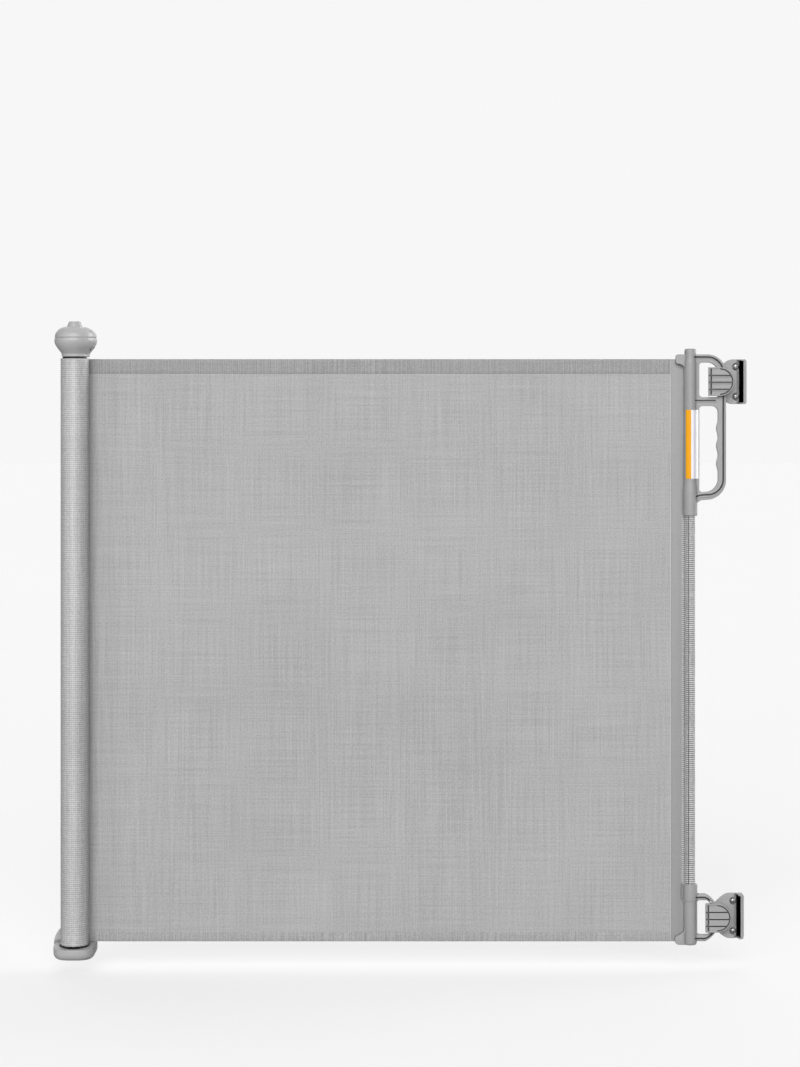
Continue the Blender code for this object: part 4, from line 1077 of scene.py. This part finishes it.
def finish_cad_nodes(finish):
    """Pieces inside the roller and the cap keep their CAD shape and get a material."""
    kinds = {
        "zinc": ("upper_wall_plate", "spring_spindle", "torsion_spring", "lock_guide_plate",
                 "ratchet_wheel", "thrust_washer", "lock_pawl", "handle_rod_screw", "fitting_rod_screw"),
        # The cap screw is near-black steel: painted shade for the recess it sits in.
        "black": ("cap_screw",),
        "aluminium": ("roller_tube", "end_rod"),
        "dark": ("lower_bush", "lower_end_plug", "spring_drive_plug", "upper_end_plug", "cam_plunger"),
    }
    for kind, names in kinds.items():
        for name in names:
            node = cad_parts[name]
            node.data.materials.clear()
            node.data.materials.append(finish[kind])


# -------- floor, light and camera


def make_floor():
    """A pale floor, even to the camera, that throws little light back up at the gate."""
    span, centre, drop, glow = 60.0, 0.44, 0.020, 0.625
    bpy.ops.mesh.primitive_plane_add(size=span, location=(centre, 0, BASE_Z - drop))
    floor = bpy.context.object
    floor.name = "studio_floor"
    nodes = Nodes("pale_floor")
    colour = nodes.ramp(nodes.noise(3.0), (0.35, 0.35, 0.35), (0.36, 0.36, 0.36))
    nodes.link(colour, nodes.shader.inputs["Base Color"])
    path = nodes.add("ShaderNodeLightPath")
    seen = nodes.math("MULTIPLY", path.outputs["Is Camera Ray"], glow)
    nodes.link(seen, nodes.shader.inputs["Emission Strength"])
    nodes.fix("Emission Color", (1, 1, 1, 1))
    nodes.fix("Roughness", 0.9)
    nodes.fix("Specular IOR Level", 0.0)
    floor.data.materials.append(nodes.material)


def make_world():
    """An even pale backdrop, and a dimmer ambient light."""
    world = bpy.data.worlds.new("studio")
    bpy.context.scene.world = world
    world.use_nodes = True
    tree = world.node_tree
    backdrop = tree.nodes["Background"]
    backdrop.inputs["Color"].default_value = (*shade(247), 1)
    ambient = tree.nodes.new("ShaderNodeBackground")
    ambient.inputs["Color"].default_value = (1, 1, 1, 1)
    ambient.inputs["Strength"].default_value = 0.02
    path = tree.nodes.new("ShaderNodeLightPath")
    mix = tree.nodes.new("ShaderNodeMixShader")
    tree.links.new(path.outputs["Is Camera Ray"], mix.inputs[0])
    tree.links.new(ambient.outputs[0], mix.inputs[1])
    tree.links.new(backdrop.outputs[0], mix.inputs[2])
    tree.links.new(mix.outputs[0], tree.nodes["World Output"].inputs["Surface"])


def softbox(name, azimuth, elevation, width, strength):
    """A far, wide light, with angles in degrees. Azimuth 0 is in front, and 90 beyond the latch."""
    light = bpy.data.lights.new(name, "SUN")
    light.energy = strength
    light.angle = math.radians(width)
    obj = linked(name, light)
    turn, rise = math.radians(azimuth), math.radians(elevation)
    source = Vector((math.sin(turn) * math.cos(rise), -math.cos(turn) * math.cos(rise), math.sin(rise)))
    obj.rotation_euler = source.to_track_quat("Z", "Y").to_euler()


def make_lights():
    softbox("key_light", -4, 22, 50, 3.0)
    softbox("left_light", -52, 12, 7, 0.33)
    softbox("right_light", 24, 14, 14, 0.12)
    softbox("wall_light_right", 116, 8, 50, 3.0)
    softbox("back_light", -172, 12, 50, 0.8)
    softbox("top_light", 180, 62, 60, 0.9)


def make_camera():
    camera = bpy.data.cameras.new("camera")
    camera.lens = 92.5
    camera.sensor_width = 36.0
    camera.shift_y = -0.125
    camera.clip_end = 100.0
    obj = linked("camera", camera)
    obj.location = (0.439, -3.729, 0.730)
    obj.rotation_euler = (math.radians(90), 0, 0)
    bpy.context.scene.camera = obj
    bpy.context.scene.view_settings.view_transform = "Standard"


# -------- assembly


def make_finishes():
    roll_start = BASE_Z + MESH_BOTTOM * MM
    sleeve_start = BASE_Z + height("rod_sleeve", 0) * MM
    flange_start = BASE_Z + (FITTING_Z[1] + 0.1) * MM
    return {
        "plastic": plastic("grey_plastic", 152),
        "cap": plastic("cap_plastic", 173, 0.36),
        "foot": plastic("foot_plastic", 169, 0.4),
        "bracket": plastic("grey_bracket_plastic", 154, 0.46),
        "dark": plastic("inner_plastic", 30, 0.6),
        # Painted shadow: near-black colour for where shade falls in the latch channels.
        "shadow": painted_shadow_plastic("channel_painted_shadow", 5),
        "zinc": metal("zinc_plate", 185, 0.36),
        # Near-black steel for the cap screw, painted shade of its recess.
        "black": metal("dark_steel_painted_recess_shade", 30, 0.5),
        "aluminium": metal("drawn_aluminium", 205, 0.36, (1, 1, 0.05)),
        "panel": cloth("mesh_cloth_flat", 167, 18.0, up=0.9, across=0.7),
        "roll": cloth("mesh_cloth_wound", 179, 30.0, up=0.6, ribs=0.6, rib_start=roll_start, around=ROLLER),
        "top_hem": cloth("top_hem_cloth", 149, 20.0, up=1.8),
        "bottom_hem": cloth("bottom_hem_cloth", 160, 26.0, up=1.8),
        "lead": cloth("lead_hem_cloth", 152, 6.0),
        "sleeve": cloth("sleeve_cloth", 166, 52.0, up=0.2, ribs=1.0, rib_start=sleeve_start),
        "flange": cloth("flange_cloth", 162, 36.0, up=0.2, ribs=1.0, rib_start=flange_start),
        "seam": cloth("seam_cord", 96, 10.0),
        "thread": cloth("stitching_thread", 148, 10.0),
        "label_left": film("label_orange", (0.86, 0.375, 0.003)),
        "label_right": film("label_white", (0.88, 0.88, 0.91)),
        "label_stripe": film("label_lavender", (0.70, 0.69, 0.77)),
        "label_edge": film("label_white_edge", (0.92, 0.92, 0.94)),
    }


def main():
    make_camera()
    make_world()
    make_lights()
    make_floor()
    finish = make_finishes()
    finish_cad_nodes(finish)
    make_roll(finish)
    make_cap_shell(finish)
    make_cap_dome(finish)
    make_knob(finish)
    make_button_spring(finish)
    make_lower_bracket(finish)
    make_screws(finish)
    make_handle(finish)
    make_fitting(finish)
    make_latch(finish, "upper", 1)
    make_latch(finish, "lower", -1)
    make_cloth(finish)
    make_leading_hem(finish)
    make_sleeve(finish)


main()
